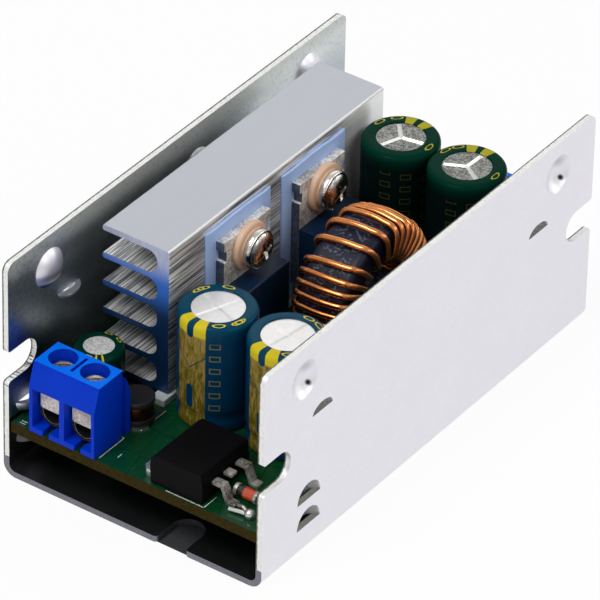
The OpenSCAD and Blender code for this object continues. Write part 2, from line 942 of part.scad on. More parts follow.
module input_cap_left_can() { can(input_left_xy, cap_d, input_cap_h, cross_arms, input_left_turn); }
module input_cap_left_sleeve() { sleeve(input_left_xy, cap_d, input_cap_h, teal); }
module input_cap_left_bung() { bung(input_left_xy, cap_d); }
module input_cap_left_leads() { can_leads(input_left_xy, cap_pitch); }
module input_cap_right_can() { can(input_right_xy, cap_d, input_cap_h, cross_arms, input_right_turn); }
module input_cap_right_sleeve() { sleeve(input_right_xy, cap_d, input_cap_h, teal); }
module input_cap_right_bung() { bung(input_right_xy, cap_d); }
module input_cap_right_leads() { can_leads(input_right_xy, cap_pitch); }
module output_cap_left_can() { can(output_left_xy, cap_d, output_cap_h, star_arms, output_left_turn); }
module output_cap_left_sleeve() { sleeve(output_left_xy, cap_d, output_cap_h, green); }
module output_cap_left_bung() { bung(output_left_xy, cap_d); }
module output_cap_left_leads() { can_leads(output_left_xy, cap_pitch); }
module output_cap_right_can() { can(output_right_xy, cap_d, output_cap_h, star_arms, output_right_turn); }
module output_cap_right_sleeve() { sleeve(output_right_xy, cap_d, output_cap_h, green); }
module output_cap_right_bung() { bung(output_right_xy, cap_d); }
module output_cap_right_leads() { can_leads(output_right_xy, cap_pitch); }
module bias_cap_can() { can(bias_xy, bias_cap_d, bias_cap_h, 0, 0); }
module bias_cap_sleeve() { sleeve(bias_xy, bias_cap_d, bias_cap_h, green); }
module bias_cap_bung() { bung(bias_xy, bias_cap_d); }
module bias_cap_leads() { can_leads(bias_xy, bias_pitch); }

// ---- wound choke: a ring core on edge, its axis along X ----

module choke_core() {
  half = core_w / 2;
  color([0.1, 0.11, 0.13])
    translate([choke_x, choke_y, choke_z])
      rotate([0, 90, 0])
        rotate_extrude($fn = 96)
          polygon([
            [core_bore_r, -half + core_edge],
            [core_bore_r + core_edge, -half],
            [core_r - core_edge, -half],
            [core_r, -half + core_edge],
            [core_r, half - core_edge],
            [core_r - core_edge, half],
            [core_bore_r + core_edge, half],
            [core_bore_r, half - core_edge]
          ]);
}

// Angle round the ring after t turns: even steps, but for a few loose turns in front
function turn_angle(t) =
  first_angle + turn_step * t + turn_loose * max(0, min(1, (t - loose_from) / loose_turns));

// Point at axial place a and radius r on the ring's half plane at angle q
function ring_point(a, r, q) =
  [choke_x + a, choke_y - r * cos(q), choke_z + r * sin(q)];

// One turn's outline as [a, r], corner by corner from the outer leg's right end
turn_loop = [
  for (c = [0:3], k = [0:corner_steps])
    let (
      q = 90 - c * 90 - k * 90 / corner_steps,
      side_a = (c == 0 || c == 1) ? 1 : -1,
      side_r = (c == 0 || c == 3) ? turn_out : turn_in,
      inward = (c == 0 || c == 3) ? -1 : 1
    )
      [
        side_a * (turn_half - turn_corner) + turn_corner * cos(q),
        side_r + inward * turn_corner + turn_corner * sin(q)
      ]
];
loop_len = len(turn_loop);
left_corner = 3 * (corner_steps + 1);         // first loop point of the outer left corner
function loop_point(i, k) =
  ring_point(turn_loop[k][0], turn_loop[k][1], turn_angle(i + (k + 2) / (loop_len + 2)));

// The wire's ends drop from the ring's left face straight through the board
function tail_top(t) = ring_point(-turn_half, turn_out - turn_corner, turn_angle(t));
function tail_point(t, z) = [tail_top(t)[0], tail_top(t)[1], z];
function tail_start() = tail_point(0, lead_tip);
function tail_end() = tail_point(turns, lead_tip);

coil_path = concat(
  [tail_start(), tail_point(0, tail_top(0)[2] - turn_corner)],
  [for (k = [left_corner + 1:loop_len - 1]) loop_point(-1, k)],
  [for (i = [0:turns - 2], k = [0:loop_len - 1]) loop_point(i, k)],
  [for (k = [0:left_corner - 1]) loop_point(turns - 1, k)],
  [tail_point(turns, tail_top(turns)[2] - turn_corner), tail_end()]
);

function unit(v) = v / norm(v);
function path_dir(p, i) = unit(p[min(i + 1, len(p) - 1)] - p[max(i - 1, 0)]);

// Each ring's frame is the last one's, turned as little as the path needs
function frames(p, i, u, acc) =
  i == len(p) ? acc :
  let (d = path_dir(p, i), v = unit(u - (u * d) * d))
    frames(p, i + 1, v, concat(acc, [[v, cross(d, v)]]));

module swept_wire(p, r, sides, start) {
  fr = frames(p, 0, start, []);
  points = [
    for (i = [0:len(p) - 1], k = [0:sides - 1])
      p[i] + r * (cos(360 * k / sides) * fr[i][0] + sin(360 * k / sides) * fr[i][1])
  ];
  last = len(p) - 1;
  walls = [
    for (i = [0:last - 1], k = [0:sides - 1])
      let (n = (k + 1) % sides)
        [i * sides + k, (i + 1) * sides + k, (i + 1) * sides + n, i * sides + n]
  ];
  lids = [
    [for (k = [0:sides - 1]) k],
    [for (k = [sides - 1:-1:0]) last * sides + k]
  ];
  polyhedron(points, concat(walls, lids), convexity = 12);
}

module choke_winding() {
  color([0.85, 0.48, 0.2])
    swept_wire(coil_path, wire_d / 2, ring_sides, [1, 0, 0]);
}

// ---- surface-mount rectifier: its moulding's lower left edge is the local origin ----

module at_rectifier() {
  translate([rect_x, rect_y, board_top])
    children();
}

module rectifier_slug() {
  translate([-rect_tab_out, -rect_tab_w / 2, 0])
    cube([rect_tab_out + rect_tab_in, rect_tab_w, rect_tab_t]);
}

module rectifier_body() {
  color([0.1, 0.1, 0.11])
    at_rectifier()
      difference() {
        translate([0, rect_w / 2, 0])
          rotate([90, 0, 0])
            linear_extrude(rect_w)
              polygon([
                [rect_edge / 2, seat],
                [rect_l - rect_edge / 2, seat],
                [rect_l, rect_lead_z],
                [rect_l - rect_edge, rect_h - rect_edge],
                [rect_l - 2 * rect_edge, rect_h],
                [rect_chamfer + rect_edge, rect_h],
                [rect_edge / 2, rect_h - rect_chamfer],
                [0, rect_lead_z]
              ]);
        rectifier_slug();
      }
}

module rectifier_tab() {
  color([0.82, 0.82, 0.8])
    at_rectifier()
      difference() {
        rectifier_slug();
        for (s = [-1, 1])
          translate([-rect_tab_out, s * rect_tab_w / 2, rect_tab_t / 2])
            rotate([0, 0, 45])
              cube([rect_edge * 4, rect_edge * 4, 2 * rect_tab_t], center = true);
      }
}

// Side view of a full lead: flat, bend down, foot on the board
module gull_outline() {
  x1 = rect_lead_flat;
  x2 = rect_lead_flat + rect_lead_run;
  x3 = x2 + rect_lead_foot;
  polygon([
    [-eps, rect_lead_z - rect_lead_t / 2],
    [x1 - rect_lead_t / 2, rect_lead_z - rect_lead_t / 2],
    [x2 - rect_lead_t / 2, 0],
    [x3, 0],
    [x3, rect_lead_t],
    [x2 + rect_lead_t / 4, rect_lead_t],
    [x1 + rect_lead_t / 4, rect_lead_z + rect_lead_t / 2],
    [-eps, rect_lead_z + rect_lead_t / 2]
  ]);
}

module rectifier_leads() {
  color([0.78, 0.77, 0.74])
    at_rectifier()
      translate([rect_l + eps, 0, 0]) {
        for (s = [-1, 1])
          translate([0, s * rect_lead_pitch + rect_lead_w / 2, 0])
            rotate([90, 0, 0])
              linear_extrude(rect_lead_w)
                gull_outline();
        translate([-eps, -rect_lead_w / 2, rect_lead_z - rect_lead_t / 2])
          cube([rect_stub, rect_lead_w, rect_lead_t]);
      }
}

// ---- drum coil, glass diode and jumper ----

module drum_coil_core() {
  color([0.12, 0.12, 0.13])
    translate([drum_xy[0], drum_xy[1], board_top + drum_base_t])
      difference() {
        cylinder(d = drum_d, h = drum_h - drum_base_t);
        translate([0, 0, drum_flange])
          difference() {
            cylinder(d = drum_d + 1, h = drum_h - drum_base_t - 2 * drum_flange);
            translate([0, 0, -eps])
              cylinder(d = drum_d - 2 * drum_waist, h = drum_h);
          }
      }
}

module drum_coil_winding() {
  color([0.3, 0.14, 0.08])
    translate([drum_xy[0], drum_xy[1], board_top + drum_base_t + drum_flange + seat])
      difference() {
        cylinder(d = drum_d - drum_waist / 2, h = drum_h - drum_base_t - 2 * drum_flange - 2 * seat);
        translate([0, 0, -eps])
          cylinder(d = drum_d - 2 * drum_waist + seat, h = drum_h);
      }
}

module drum_coil_base() {
  color([0.85, 0.84, 0.8])
    translate([drum_xy[0], drum_xy[1], board_top])
      for (s = [-1, 1])
        intersection() {
          cylinder(d = drum_d + fit_gap, h = drum_base_t);
          translate([-far / 2, s > 0 ? drum_d / 8 : -far - drum_d / 8, 0])
            cube([far, far, drum_base_t]);
        }
}

module diode_axis() {
  translate([diode_xy[0] - diode_l / 2, diode_xy[1], board_top + diode_d / 2 + diode_end_wall])
    rotate([0, 90, 0])
      children();
}

module diode_glass() {
  color([0.75, 0.2, 0.08])
    diode_axis()
      translate([0, 0, diode_end_l])
        cylinder(d = diode_d, h = diode_l - 2 * diode_end_l);
}

module diode_ends() {
  color([0.82, 0.81, 0.78])
    diode_axis()
      for (z = [0, diode_l - diode_end_l])
        translate([0, 0, z])
          cylinder(d = diode_d + 2 * diode_end_wall, h = diode_end_l);
}

// Two tinned wires that meet in a solder blob on their pad
module jumper_wire() {
  color([0.86, 0.85, 0.82])
    translate([wall_in - jumper_side, front + jumper_end, board_top]) {
      for (bend = jumper_bends)
        swept_wire([bend[0], bend[1], [0, 0, jumper_r + seat]], jumper_r, ring_sides, [0, 0, 1]);
      difference() {
        translate([0, 0, blob_r - blob_sink])
          sphere(blob_r);
        translate([-blob_r, -blob_r, -2 * blob_r])
          cube(2 * blob_r);
      }
    }
}

// ---- controller and chip parts ----

module controller_body() {
  color([0.1, 0.1, 0.11])
    translate([lane_x - controller_w / 2, controller_y - controller_l / 2, board_top + controller_lift])
      cube([controller_w, controller_l, controller_h - controller_lift]);
}

module controller_leads() {
  reach = (controller_span - controller_w) / 2;
  color([0.82, 0.82, 0.8])
    for (s = [-1, 1], i = [0:3])
      translate([lane_x, controller_y + (i - 1.5) * controller_pitch, board_top])
        mirror([s < 0 ? 1 : 0, 0, 0])
          translate([controller_w / 2, controller_lead_w / 2, 0])
            rotate([90, 0, 0])
              linear_extrude(controller_lead_w)
                polygon([
                  [0, controller_lead_z],
                  [reach / 3, controller_lead_z],
                  [reach / 2, 0],
                  [reach, 0],
                  [reach, controller_lead_t],
                  [reach / 2 + controller_lead_t, controller_lead_t],
                  [reach / 3 + controller_lead_t, controller_lead_z + controller_lead_t],
                  [0, controller_lead_z + controller_lead_t]
                ]);
}

module chip_row(n, y, pitch, size) {
  for (i = [0:n - 1])
    translate([lane_x - size[0] / 2, y + i * pitch - size[1] / 2, board_top])
      cube(size);
}

module chip_resistors() {
  color([0.14, 0.14, 0.15])
    chip_row(resistors, chip_y, chip_pitch, [chip_l, chip_w, chip_h]);
}

module chip_capacitors() {
  color([0.72, 0.6, 0.45])
    chip_row(ceramics, ceramic_y, ceramic_pitch, [ceramic_l, ceramic_w, ceramic_h]);
}

module thermal_pad_front() { thermal_pad(device_ys()[0]); }
module thermal_pad_rear() { thermal_pad(device_ys()[1]); }
module device_tab_front() { device_tab(device_ys()[0]); }
module device_tab_rear() { device_tab(device_ys()[1]); }
module device_body_front() { device_body(device_ys()[0]); }
module device_body_rear() { device_body(device_ys()[1]); }
module device_leads_front() { device_leads(device_ys()[0]); }
module device_leads_rear() { device_leads(device_ys()[1]); }
module bushing_front() { bushing(device_ys()[0]); }
module bushing_rear() { bushing(device_ys()[1]); }

case_channel();
circuit_board();
heatsink();
heatsink_rail();
thermal_pad_front();
thermal_pad_rear();
device_tab_front();
device_tab_rear();
device_body_front();
device_body_rear();
device_leads_front();
device_leads_rear();
bushing_front();
bushing_rear();
device_screws();
input_terminal_housing();
input_terminal_cages();
input_terminal_screws();
input_terminal_pins();
output_terminal_housing();
output_terminal_cages();
output_terminal_screws();
output_terminal_pins();
input_cap_left_can();
input_cap_left_sleeve();
input_cap_left_bung();
input_cap_left_leads();
input_cap_right_can();
input_cap_right_sleeve();
input_cap_right_bung();
input_cap_right_leads();
output_cap_left_can();
output_cap_left_sleeve();
output_cap_left_bung();
output_cap_left_leads();
output_cap_right_can();
output_cap_right_sleeve();
output_cap_right_bung();
output_cap_right_leads();
bias_cap_can();
bias_cap_sleeve();
bias_cap_bung();
bias_cap_leads();
choke_core();
choke_winding();
rectifier_body();
rectifier_tab();
rectifier_leads();
drum_coil_core();
drum_coil_winding();
drum_coil_base();
diode_glass();
diode_ends();
jumper_wire();
controller_body();
controller_leads();
chip_resistors();
chip_capacitors();
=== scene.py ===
import json
from math import cos, pi, radians, sin

import bmesh
import bpy
from mathutils import Matrix, Vector


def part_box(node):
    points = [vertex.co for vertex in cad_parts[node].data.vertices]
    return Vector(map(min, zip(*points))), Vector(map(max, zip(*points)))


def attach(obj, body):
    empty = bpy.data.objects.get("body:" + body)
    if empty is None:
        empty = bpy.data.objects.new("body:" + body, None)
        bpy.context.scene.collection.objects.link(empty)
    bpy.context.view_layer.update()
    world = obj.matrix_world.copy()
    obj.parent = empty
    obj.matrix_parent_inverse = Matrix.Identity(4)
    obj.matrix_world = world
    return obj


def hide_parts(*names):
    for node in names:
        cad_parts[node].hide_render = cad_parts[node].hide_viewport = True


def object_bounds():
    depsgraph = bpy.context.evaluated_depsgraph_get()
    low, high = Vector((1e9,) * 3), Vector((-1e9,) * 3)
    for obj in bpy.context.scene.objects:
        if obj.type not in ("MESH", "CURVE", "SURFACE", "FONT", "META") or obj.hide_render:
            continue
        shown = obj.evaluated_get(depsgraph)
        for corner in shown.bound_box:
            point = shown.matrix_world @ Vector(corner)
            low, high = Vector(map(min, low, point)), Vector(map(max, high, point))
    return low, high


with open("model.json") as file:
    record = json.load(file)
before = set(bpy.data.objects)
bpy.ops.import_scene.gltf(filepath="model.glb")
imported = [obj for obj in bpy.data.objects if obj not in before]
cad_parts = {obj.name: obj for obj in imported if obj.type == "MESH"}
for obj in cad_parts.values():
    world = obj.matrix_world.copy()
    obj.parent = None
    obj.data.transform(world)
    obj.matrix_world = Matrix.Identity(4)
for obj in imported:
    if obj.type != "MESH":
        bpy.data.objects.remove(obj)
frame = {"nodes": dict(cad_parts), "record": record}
cad_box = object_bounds()
MM = 0.001                      # a millimetre in the scene's metres
BODY = "root"                   # the one rigid body, which carries every piece
WELD = MM * 1e-3                # vertices closer than this are one
SMOOTH_BELOW = 32               # degrees under which neighbouring faces shade as one surface
ALONG_X = (1, 0, 0)


def mm(*values):
    return Vector(values) * MM


def middle(node):
    low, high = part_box(node)
    return (low + high) / 2


def can_size(node):
    """The middle of a round node's foot, and its radius and height in millimetres."""
    low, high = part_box(node)
    foot = Vector(((low.x + high.x) / 2, (low.y + high.y) / 2, low.z))
    return foot, (high.x - low.x) / 2 / MM, (high.z - low.z) / MM


# ---------------------------------------------------------------- shader maths

class Value:
    """A socket that reads like a number, so a pattern is written as arithmetic."""

    def __init__(self, finish, socket):
        self.finish = finish
        self.socket = socket

    def math(self, operation, *others):
        return self.finish.put("ShaderNodeMath", {"operation": operation}, self, *others)

    def reflected(self, operation, other):
        return self.finish.put("ShaderNodeMath", {"operation": operation}, other, self)

    def __add__(self, other):
        return self.math("ADD", other)

    def __sub__(self, other):
        return self.math("SUBTRACT", other)

    def __mul__(self, other):
        return self.math("MULTIPLY", other)

    def __truediv__(self, other):
        return self.math("DIVIDE", other)

    def __rsub__(self, other):
        return self.reflected("SUBTRACT", other)

    def __lt__(self, other):
        return self.math("LESS_THAN", other)

    def __abs__(self):
        return self.math("ABSOLUTE")

    def __or__(self, other):
        return self.math("MAXIMUM", other)

    def __and__(self, other):
        return self.math("MULTIPLY", other)

    __radd__ = __add__
    __rmul__ = __mul__


class Finish:
    """One material: a Principled shader and the nodes that feed it."""

    def __init__(self, name, **fixed):
        self.material = bpy.data.materials.new(name)
        self.material.use_nodes = True
        self.tree = self.material.node_tree
        self.tree.nodes.clear()
        self.shader = self.tree.nodes.new("ShaderNodeBsdfPrincipled")
        self.output = self.tree.nodes.new("ShaderNodeOutputMaterial")
        self.tree.links.new(self.shader.outputs[0], self.output.inputs[0])
        self.place = self.put("ShaderNodeTexCoord", {}, out="Object")
        for socket, value in fixed.items():
            self.feed(socket.replace("_", " "), value)

    def put(self, kind, settings, *inputs, out=0, **named):
        """Adds a node: its settings first, then its sockets by place or by name."""
        node = self.tree.nodes.new(kind)
        for name, value in settings.items():
            setattr(node, name, value)
        for place, value in enumerate(inputs):
            self.join(node.inputs[place], value)
        for name, value in named.items():
            self.join(node.inputs[name.replace("_", " ")], value)
        return Value(self, node.outputs[out])

    def join(self, socket, value):
        if isinstance(value, Value):
            self.tree.links.new(value.socket, socket)
        elif value is not None:
            colour = socket.type == "RGBA" and len(value) == 3
            socket.default_value = (*value, 1) if colour else value

    def feed(self, socket, value):
        self.join(self.shader.inputs[socket], value)

    def parts(self, centre=(0, 0, 0)):
        """The x, y and z of a place in millimetres from a centre given in metres."""
        moved = self.put("ShaderNodeVectorMath", {"operation": "SUBTRACT"}, self.place, centre)
        scaled = self.put("ShaderNodeVectorMath", {"operation": "SCALE"}, moved, Scale=1 / MM)
        node = self.put("ShaderNodeSeparateXYZ", {}, scaled).socket.node
        return [Value(self, socket) for socket in node.outputs]

    def noise(self, size, detail=3.0, rough=0.55, grain=(1, 1, 1)):
        """Noise with features about size millimetres across; grain shortens it along an axis."""
        scale = tuple(g / (size * MM) for g in grain)
        place = self.put("ShaderNodeVectorMath", {"operation": "MULTIPLY"}, self.place, scale)
        return self.put(
            "ShaderNodeTexNoise", {}, Vector=place, Scale=1.0, Detail=detail, Roughness=rough
        )

    def mix(self, factor, a, b):
        """Colour a where factor is 0 and colour b where it is 1."""
        node = self.put("ShaderNodeMix", {"data_type": "RGBA"}, factor).socket.node
        first, second, result = node.inputs[6], node.inputs[7], node.outputs[2]
        self.join(first, a)
        self.join(second, b)
        return Value(self, result)

    def ramp(self, value, low, high):
        """0 at low and 1 at high, smooth between them; low may be the larger."""
        return self.put(
            "ShaderNodeMapRange", {"interpolation_type": "SMOOTHSTEP"}, value,
            From_Min=low, From_Max=high,
        )

    def step(self, value, edge, soft):
        """0 below edge and 1 above it, over a soft band."""
        return self.ramp(value - edge, -soft, soft)

    def band(self, value, low, high, soft):
        """1 between low and high."""
        return self.step(value, low, soft) - self.step(value, high, soft)

    def bump(self, height, distance, strength=0.5):
        """Relief of a pattern; distance is its height in millimetres."""
        relief = self.put(
            "ShaderNodeBump", {}, Height=height, Distance=distance * MM, Strength=strength
        )
        self.feed("Normal", relief)


def lerp(value, low, high):
    """Maps a 0..1 pattern onto a range."""
    return value * (high - low) + low


def shade(colour, factor):
    return tuple(min(c * factor, 1) for c in colour)


# ---------------------------------------------------------------- finishes

def sheet_metal(name, tint, solid=0.92, dents=(), bosses=()):
    """Rolled aluminium sheet: a fine matt grain, faint clouds and small specks.

    A dent or boss is a (y, z) middle. Each dent gets a painted highlight on one part, a painted
    shade on another and a small dark painted shade spot in it; each boss gets a painted shade
    belt and a painted blue reflection at its foot.
    """
    f = Finish(name, Metallic=solid)
    _, y, z = f.parts()
    grain = f.noise(0.5, 4, 0.65, grain=(1, 0.25, 1))
    cloud = f.noise(9, 3, 0.6)
    speck = f.step(f.noise(0.55, 2, 0.7), 0.72, 0.04)
    scratch = f.step(f.noise(0.9, 2, 0.5, grain=(1, 0.10, 1)), 0.75, 0.05)
    tone = f.mix(cloud, shade(tint, 0.91), tint)
    tone = f.mix(grain * 0.45, tone, shade(tint, 0.80))
    tone = f.mix((speck + scratch * 0.5) * 0.3, tone, shade(tint, 0.63))

    def near(across, up, size, soft):
        far = ((y - across) * (y - across) + (z - up) * (z - up)).math("SQRT")
        return 1 - f.step(far, size, soft)

    painted_shade_tone = shade(tint, 0.30)
    # painted highlight, painted shade and a small dark painted shade spot on each dent
    for across, up in dents:
        tone = f.mix(near(across - 0.3, up - 2.0, 0.7, 0.5) * 0.9, tone, (1.0, 1.0, 1.0))
        tone = f.mix(near(across + 1.3, up + 0.9, 0.7, 0.6) * 0.4, tone, painted_shade_tone)
        tone = f.mix(near(across + 1.5, up - 1.5, 0.35, 0.2), tone, (0.02, 0.02, 0.01))
    # painted shade belt and painted blue reflection at the foot of each boss
    for across, up in bosses:
        boss = f.band(y, across - 3, across + 3, 0.1)
        painted_shade_belt = f.band(z, up - 1.0, up - 0.1, 0.4) * boss
        foot = (1 - f.step(z, up - 1.7, 0.3)) * f.step(z, up - 3.2, 0.1) * boss
        tone = f.mix(painted_shade_belt * 0.7, tone, painted_shade_tone)
        tone = f.mix(foot, tone, (0.02, 0.11, 0.42))
    f.feed("Base Color", tone)
    f.feed("Roughness", lerp(cloud * 0.5 + grain * 0.5, 0.34, 0.51))
    f.bump(grain + speck * 0.4, 0.02, 0.35)
    return f.material


def inner_sheet():
    """The left wall's inner face: smoother, with painted shade darkening it away from its top edge
    and dark painted shade blotches in front; greyer and less metallic near the top edge.
    """
    f = Finish("inner_sheet")
    _, y, z = f.parts()
    grain = f.noise(0.5, 4, 0.65, grain=(1, 0.25, 1))
    cloud = f.noise(4, 4, 0.65)
    # painted shade: dark blotches low in front, where the wall lies in shadow
    painted_shade_blot = f.step(f.noise(1.3, 4, 0.75), 0.56, 0.10) * (1 - f.step(y, -26, 7))
    # painted shade: the wall darkens away from its top edge, as if shadowed by the heatsink
    painted_shade_below_top = 1 - f.step(z + cloud * 4, 31, 5)
    top = f.step(z + cloud * 2, 32.0, 2.0)
    tone = f.mix(cloud, (0.76, 0.79, 0.78), (0.88, 0.91, 0.90))
    tone = f.mix(painted_shade_below_top * 0.8, tone, (0.36, 0.42, 0.46))
    tone = f.mix(top * 0.7, tone, (0.62, 0.66, 0.62))
    tone = f.mix(painted_shade_blot * 0.35, tone, (0.10, 0.14, 0.18))
    speck = f.step(f.noise(0.5, 3, 0.75), 0.60, 0.05)
    tone = f.mix(speck * 0.35, tone, (0.10, 0.12, 0.13))
    f.feed("Metallic", lerp(top, 1.0, 0.45))
    f.feed("Base Color", f.mix(grain * 0.3, tone, (0.30, 0.33, 0.34)))
    f.feed("Roughness", lerp(cloud * 0.5 + grain * 0.5, 0.24, 0.44))
    f.bump(grain + painted_shade_blot * 0.3, 0.02, 0.35)
    return f.material


def sheared_edge(name, light, dark, solid=0.8, shade_lines_at=(), punched=()):
    """Cut edge of the sheet: fine marks across it, and a painted shade line at the burr along each
    given x.

    Between the two heights of punched, the tool has left dark strokes across the left
    wall's edge.
    """
    f = Finish(name, Metallic=solid)
    x, _, z = f.parts()
    marks = f.noise(0.25, 3, 0.7, grain=(1, 1, 0.3))
    nick = f.step(f.noise(0.35, 3, 0.8), 0.60, 0.06)
    tone = f.mix(nick * 0.25, f.mix(marks, dark, light), shade(dark, 0.5))
    ragged, black = f.noise(0.6, 3, 0.7) * 0.3, shade(dark, 0.08)
    # painted shade: a dark ragged line along each given x
    for at in shade_lines_at:
        tone = f.mix((1 - f.step(abs(x - at), ragged + 0.03, 0.05)) * 0.9, tone, black)
    if punched:
        strokes = f.step(f.noise(0.45, 2, 0.6, grain=(0.25, 1, 1)), 0.55, 0.04) * (x < 0)
        tone = f.mix(strokes * f.band(z, *punched, 0.3) * 0.9, tone, black)
    f.feed("Base Color", tone)
    f.feed("Roughness", lerp(marks, 0.30, 0.50))
    f.bump(marks + nick * 0.6, 0.04, 0.6)
    return f.material


def extruded(name, grain_way, light, dark, rough, contrast, solid=1.0, nick=0.25, fades=()):
    """Heatsink metal: die lines that run one way, crossed by short dark nicks.

    Each fade turns the metal to a colour as y or z goes from one value to another.
    """
    f = Finish(name, Metallic=solid)
    _, y, z = f.parts()
    lines = f.noise(0.26, 3, 0.75, grain=grain_way)
    broad = f.noise(1.4, 2, 0.5, grain=grain_way)
    nicks = f.step(f.noise(0.5, 3, 0.8), 0.66, 0.05)
    pattern = f.step(lines * 0.75 + broad * 0.25, 0.5, contrast)
    tone = f.mix(nicks * nick, f.mix(pattern, dark, light), shade(dark, 0.6))
    for way, low, high, colour in fades:
        tone = f.mix(f.ramp(y if way == "y" else z, low, high) * 0.95, tone, colour)
    f.feed("Base Color", tone)
    f.feed("Roughness", lerp(lines, rough - 0.06, rough + 0.12))
    f.bump(lines + broad * 0.6, 0.02, 0.5)
    return f.material


def metal(name, light, dark, rough, size, depth, solid=1.0, contrast=0.5):
    """Plated or cast metal with a fine even texture."""
    f = Finish(name, Metallic=solid)
    grain = f.noise(size, 4, 0.7)
    cloud = f.noise(size * 8, 2, 0.5)
    f.feed("Base Color", f.mix(f.step(grain * 0.6 + cloud * 0.4, 0.5, contrast), dark, light))
    f.feed("Roughness", lerp(grain, rough - 0.07, rough + 0.13))
    f.bump(grain, depth, 0.6)
    return f.material


def speckled(name, light, dark, rough, solid=0.7):
    """Etched aluminium: hard dark and light grains."""
    f = Finish(name, Metallic=solid)
    grain = f.noise(0.42, 5, 0.85)
    spots = f.step(grain, 0.5, 0.05)
    f.feed("Base Color", f.mix(f.noise(3, 2, 0.5) * 0.35 + spots * 0.65, dark, light))
    f.feed("Roughness", lerp(grain, rough - 0.08, rough + 0.12))
    f.bump(grain, 0.05, 0.6)
    return f.material


def moulded(name, colour, rough, size=0.35, depth=0.008, vary=0.12, shine=0.5):
    """Moulded plastic, rubber or ceramic with a fine grain."""
    f = Finish(name, Specular_IOR_Level=shine)
    grain = f.noise(size, 3, 0.6)
    cloud = f.noise(4, 2, 0.5)
    f.feed("Base Color", f.mix(cloud, shade(colour, 1 - vary), shade(colour, 1 + vary)))
    f.feed("Roughness", lerp(grain, rough - 0.06, rough + 0.08))
    f.bump(grain, depth, 0.5)
    return f.material


def enamelled_copper():
    """Copper under clear enamel, in slow drifts of lighter and darker copper."""
    f = Finish("enamelled_copper", Metallic=1.0, Coat_Roughness=0.05, Coat_IOR=1.5)
    grain = f.noise(2.0, 1, 0.5)
    cloud = f.noise(5, 2, 0.5)
    f.feed("Base Color", f.mix(cloud, (0.50, 0.15, 0.045), (0.82, 0.32, 0.09)))
    f.feed("Roughness", lerp(grain, 0.20, 0.28))
    f.feed("Coat Weight", lerp(cloud, 0.3, 0.5))
    return f.material


def core_paint(centre):
    """Dark coating of the ring core, with worn grey print between the turns."""
    f = Finish("core_paint", Specular_IOR_Level=0.25)
    x, y, z = f.parts(centre)
    outer_radius = 9.6
    around = y.math("ARCTAN2", z) * outer_radius
    cell = f.put("ShaderNodeCombineXYZ", {}, X=x * 0.9, Y=around * 1.2, Z=0.0)
    worn = f.put("ShaderNodeTexNoise", {}, Vector=cell, Scale=1.0, Detail=4.0, Roughness=0.7)
    bars = f.put("ShaderNodeTexNoise", {}, Vector=cell, Scale=2.2, Detail=0.0)
    print_area = f.band(abs(x), -1.0, 2.4, 0.2)
    ink = f.step(worn, 0.52, 0.03) * f.step(bars, 0.5, 0.03) * print_area
    cloud = f.noise(2.5, 3, 0.6)
    tone = f.mix(cloud, (0.002, 0.003, 0.011), (0.008, 0.011, 0.030))
    f.feed("Base Color", f.mix(ink * 0.5, tone, (0.15, 0.18, 0.25)))
    f.feed("Roughness", lerp(cloud, 0.32, 0.46))
    f.bump(f.noise(0.5, 3, 0.6) + ink * 0.3, 0.02, 0.5)
    return f.material


def solder_mask():
    """Green mask over copper: darker gaps between the pours, a slight sheen."""
    f = Finish("solder_mask", Specular_IOR_Level=0.35)
    x, y, z = f.parts()
    wander = f.noise(12, 0, 0.4)
    lanes = (x * 0.36 + y * 0.10 + wander * 2.4).math("FRACT")
    gap = f.band(lanes, 0.46, 0.52, 0.02)
    cross = (y * 0.21 - x * 0.05 + wander * 1.6).math("FRACT")
    gap = gap | f.band(cross, 0.20, 0.235, 0.012)
    cloud = f.noise(2.2, 4, 0.6)
    pour = f.mix(cloud, (0.001, 0.036, 0.010), (0.002, 0.062, 0.020))
    f.feed("Base Color", f.mix(gap * 0.5, pour, (0.001, 0.014, 0.005)))
    f.feed("Roughness", lerp(cloud, 0.20, 0.32))
    f.bump(gap * -1.0 + cloud * 0.15, 0.03, 0.6)
    return f.material


def laminate():
    """Sawn edge of the glass-fibre laminate."""
    f = Finish("laminate_edge", Specular_IOR_Level=0.04)
    z = f.parts()[2]
    fibres = f.noise(0.35, 4, 0.7, grain=(0.4, 0.4, 2.2))
    plies = f.band((z * 2.6).math("FRACT"), 0.2, 0.5, 0.2)
    speck = f.step(f.noise(0.5, 3, 0.8), 0.60, 0.05)
    tone = f.mix(f.step(fibres, 0.5, 0.2), (0.010, 0.007, 0.001), (0.052, 0.036, 0.004))
    tone = f.mix(speck * 0.6, tone, (0.002, 0.003, 0.001))
    chip = f.step(f.noise(0.4, 3, 0.8), 0.68, 0.03)
    tone = f.mix(chip * 0.5, tone, (0.16, 0.14, 0.07))
    f.feed("Base Color", f.mix(plies * 0.2, tone, (0.060, 0.050, 0.014)))
    f.feed("Roughness", lerp(fibres, 0.5, 0.75))
    f.bump(fibres, 0.05, 0.6)
    return f.material


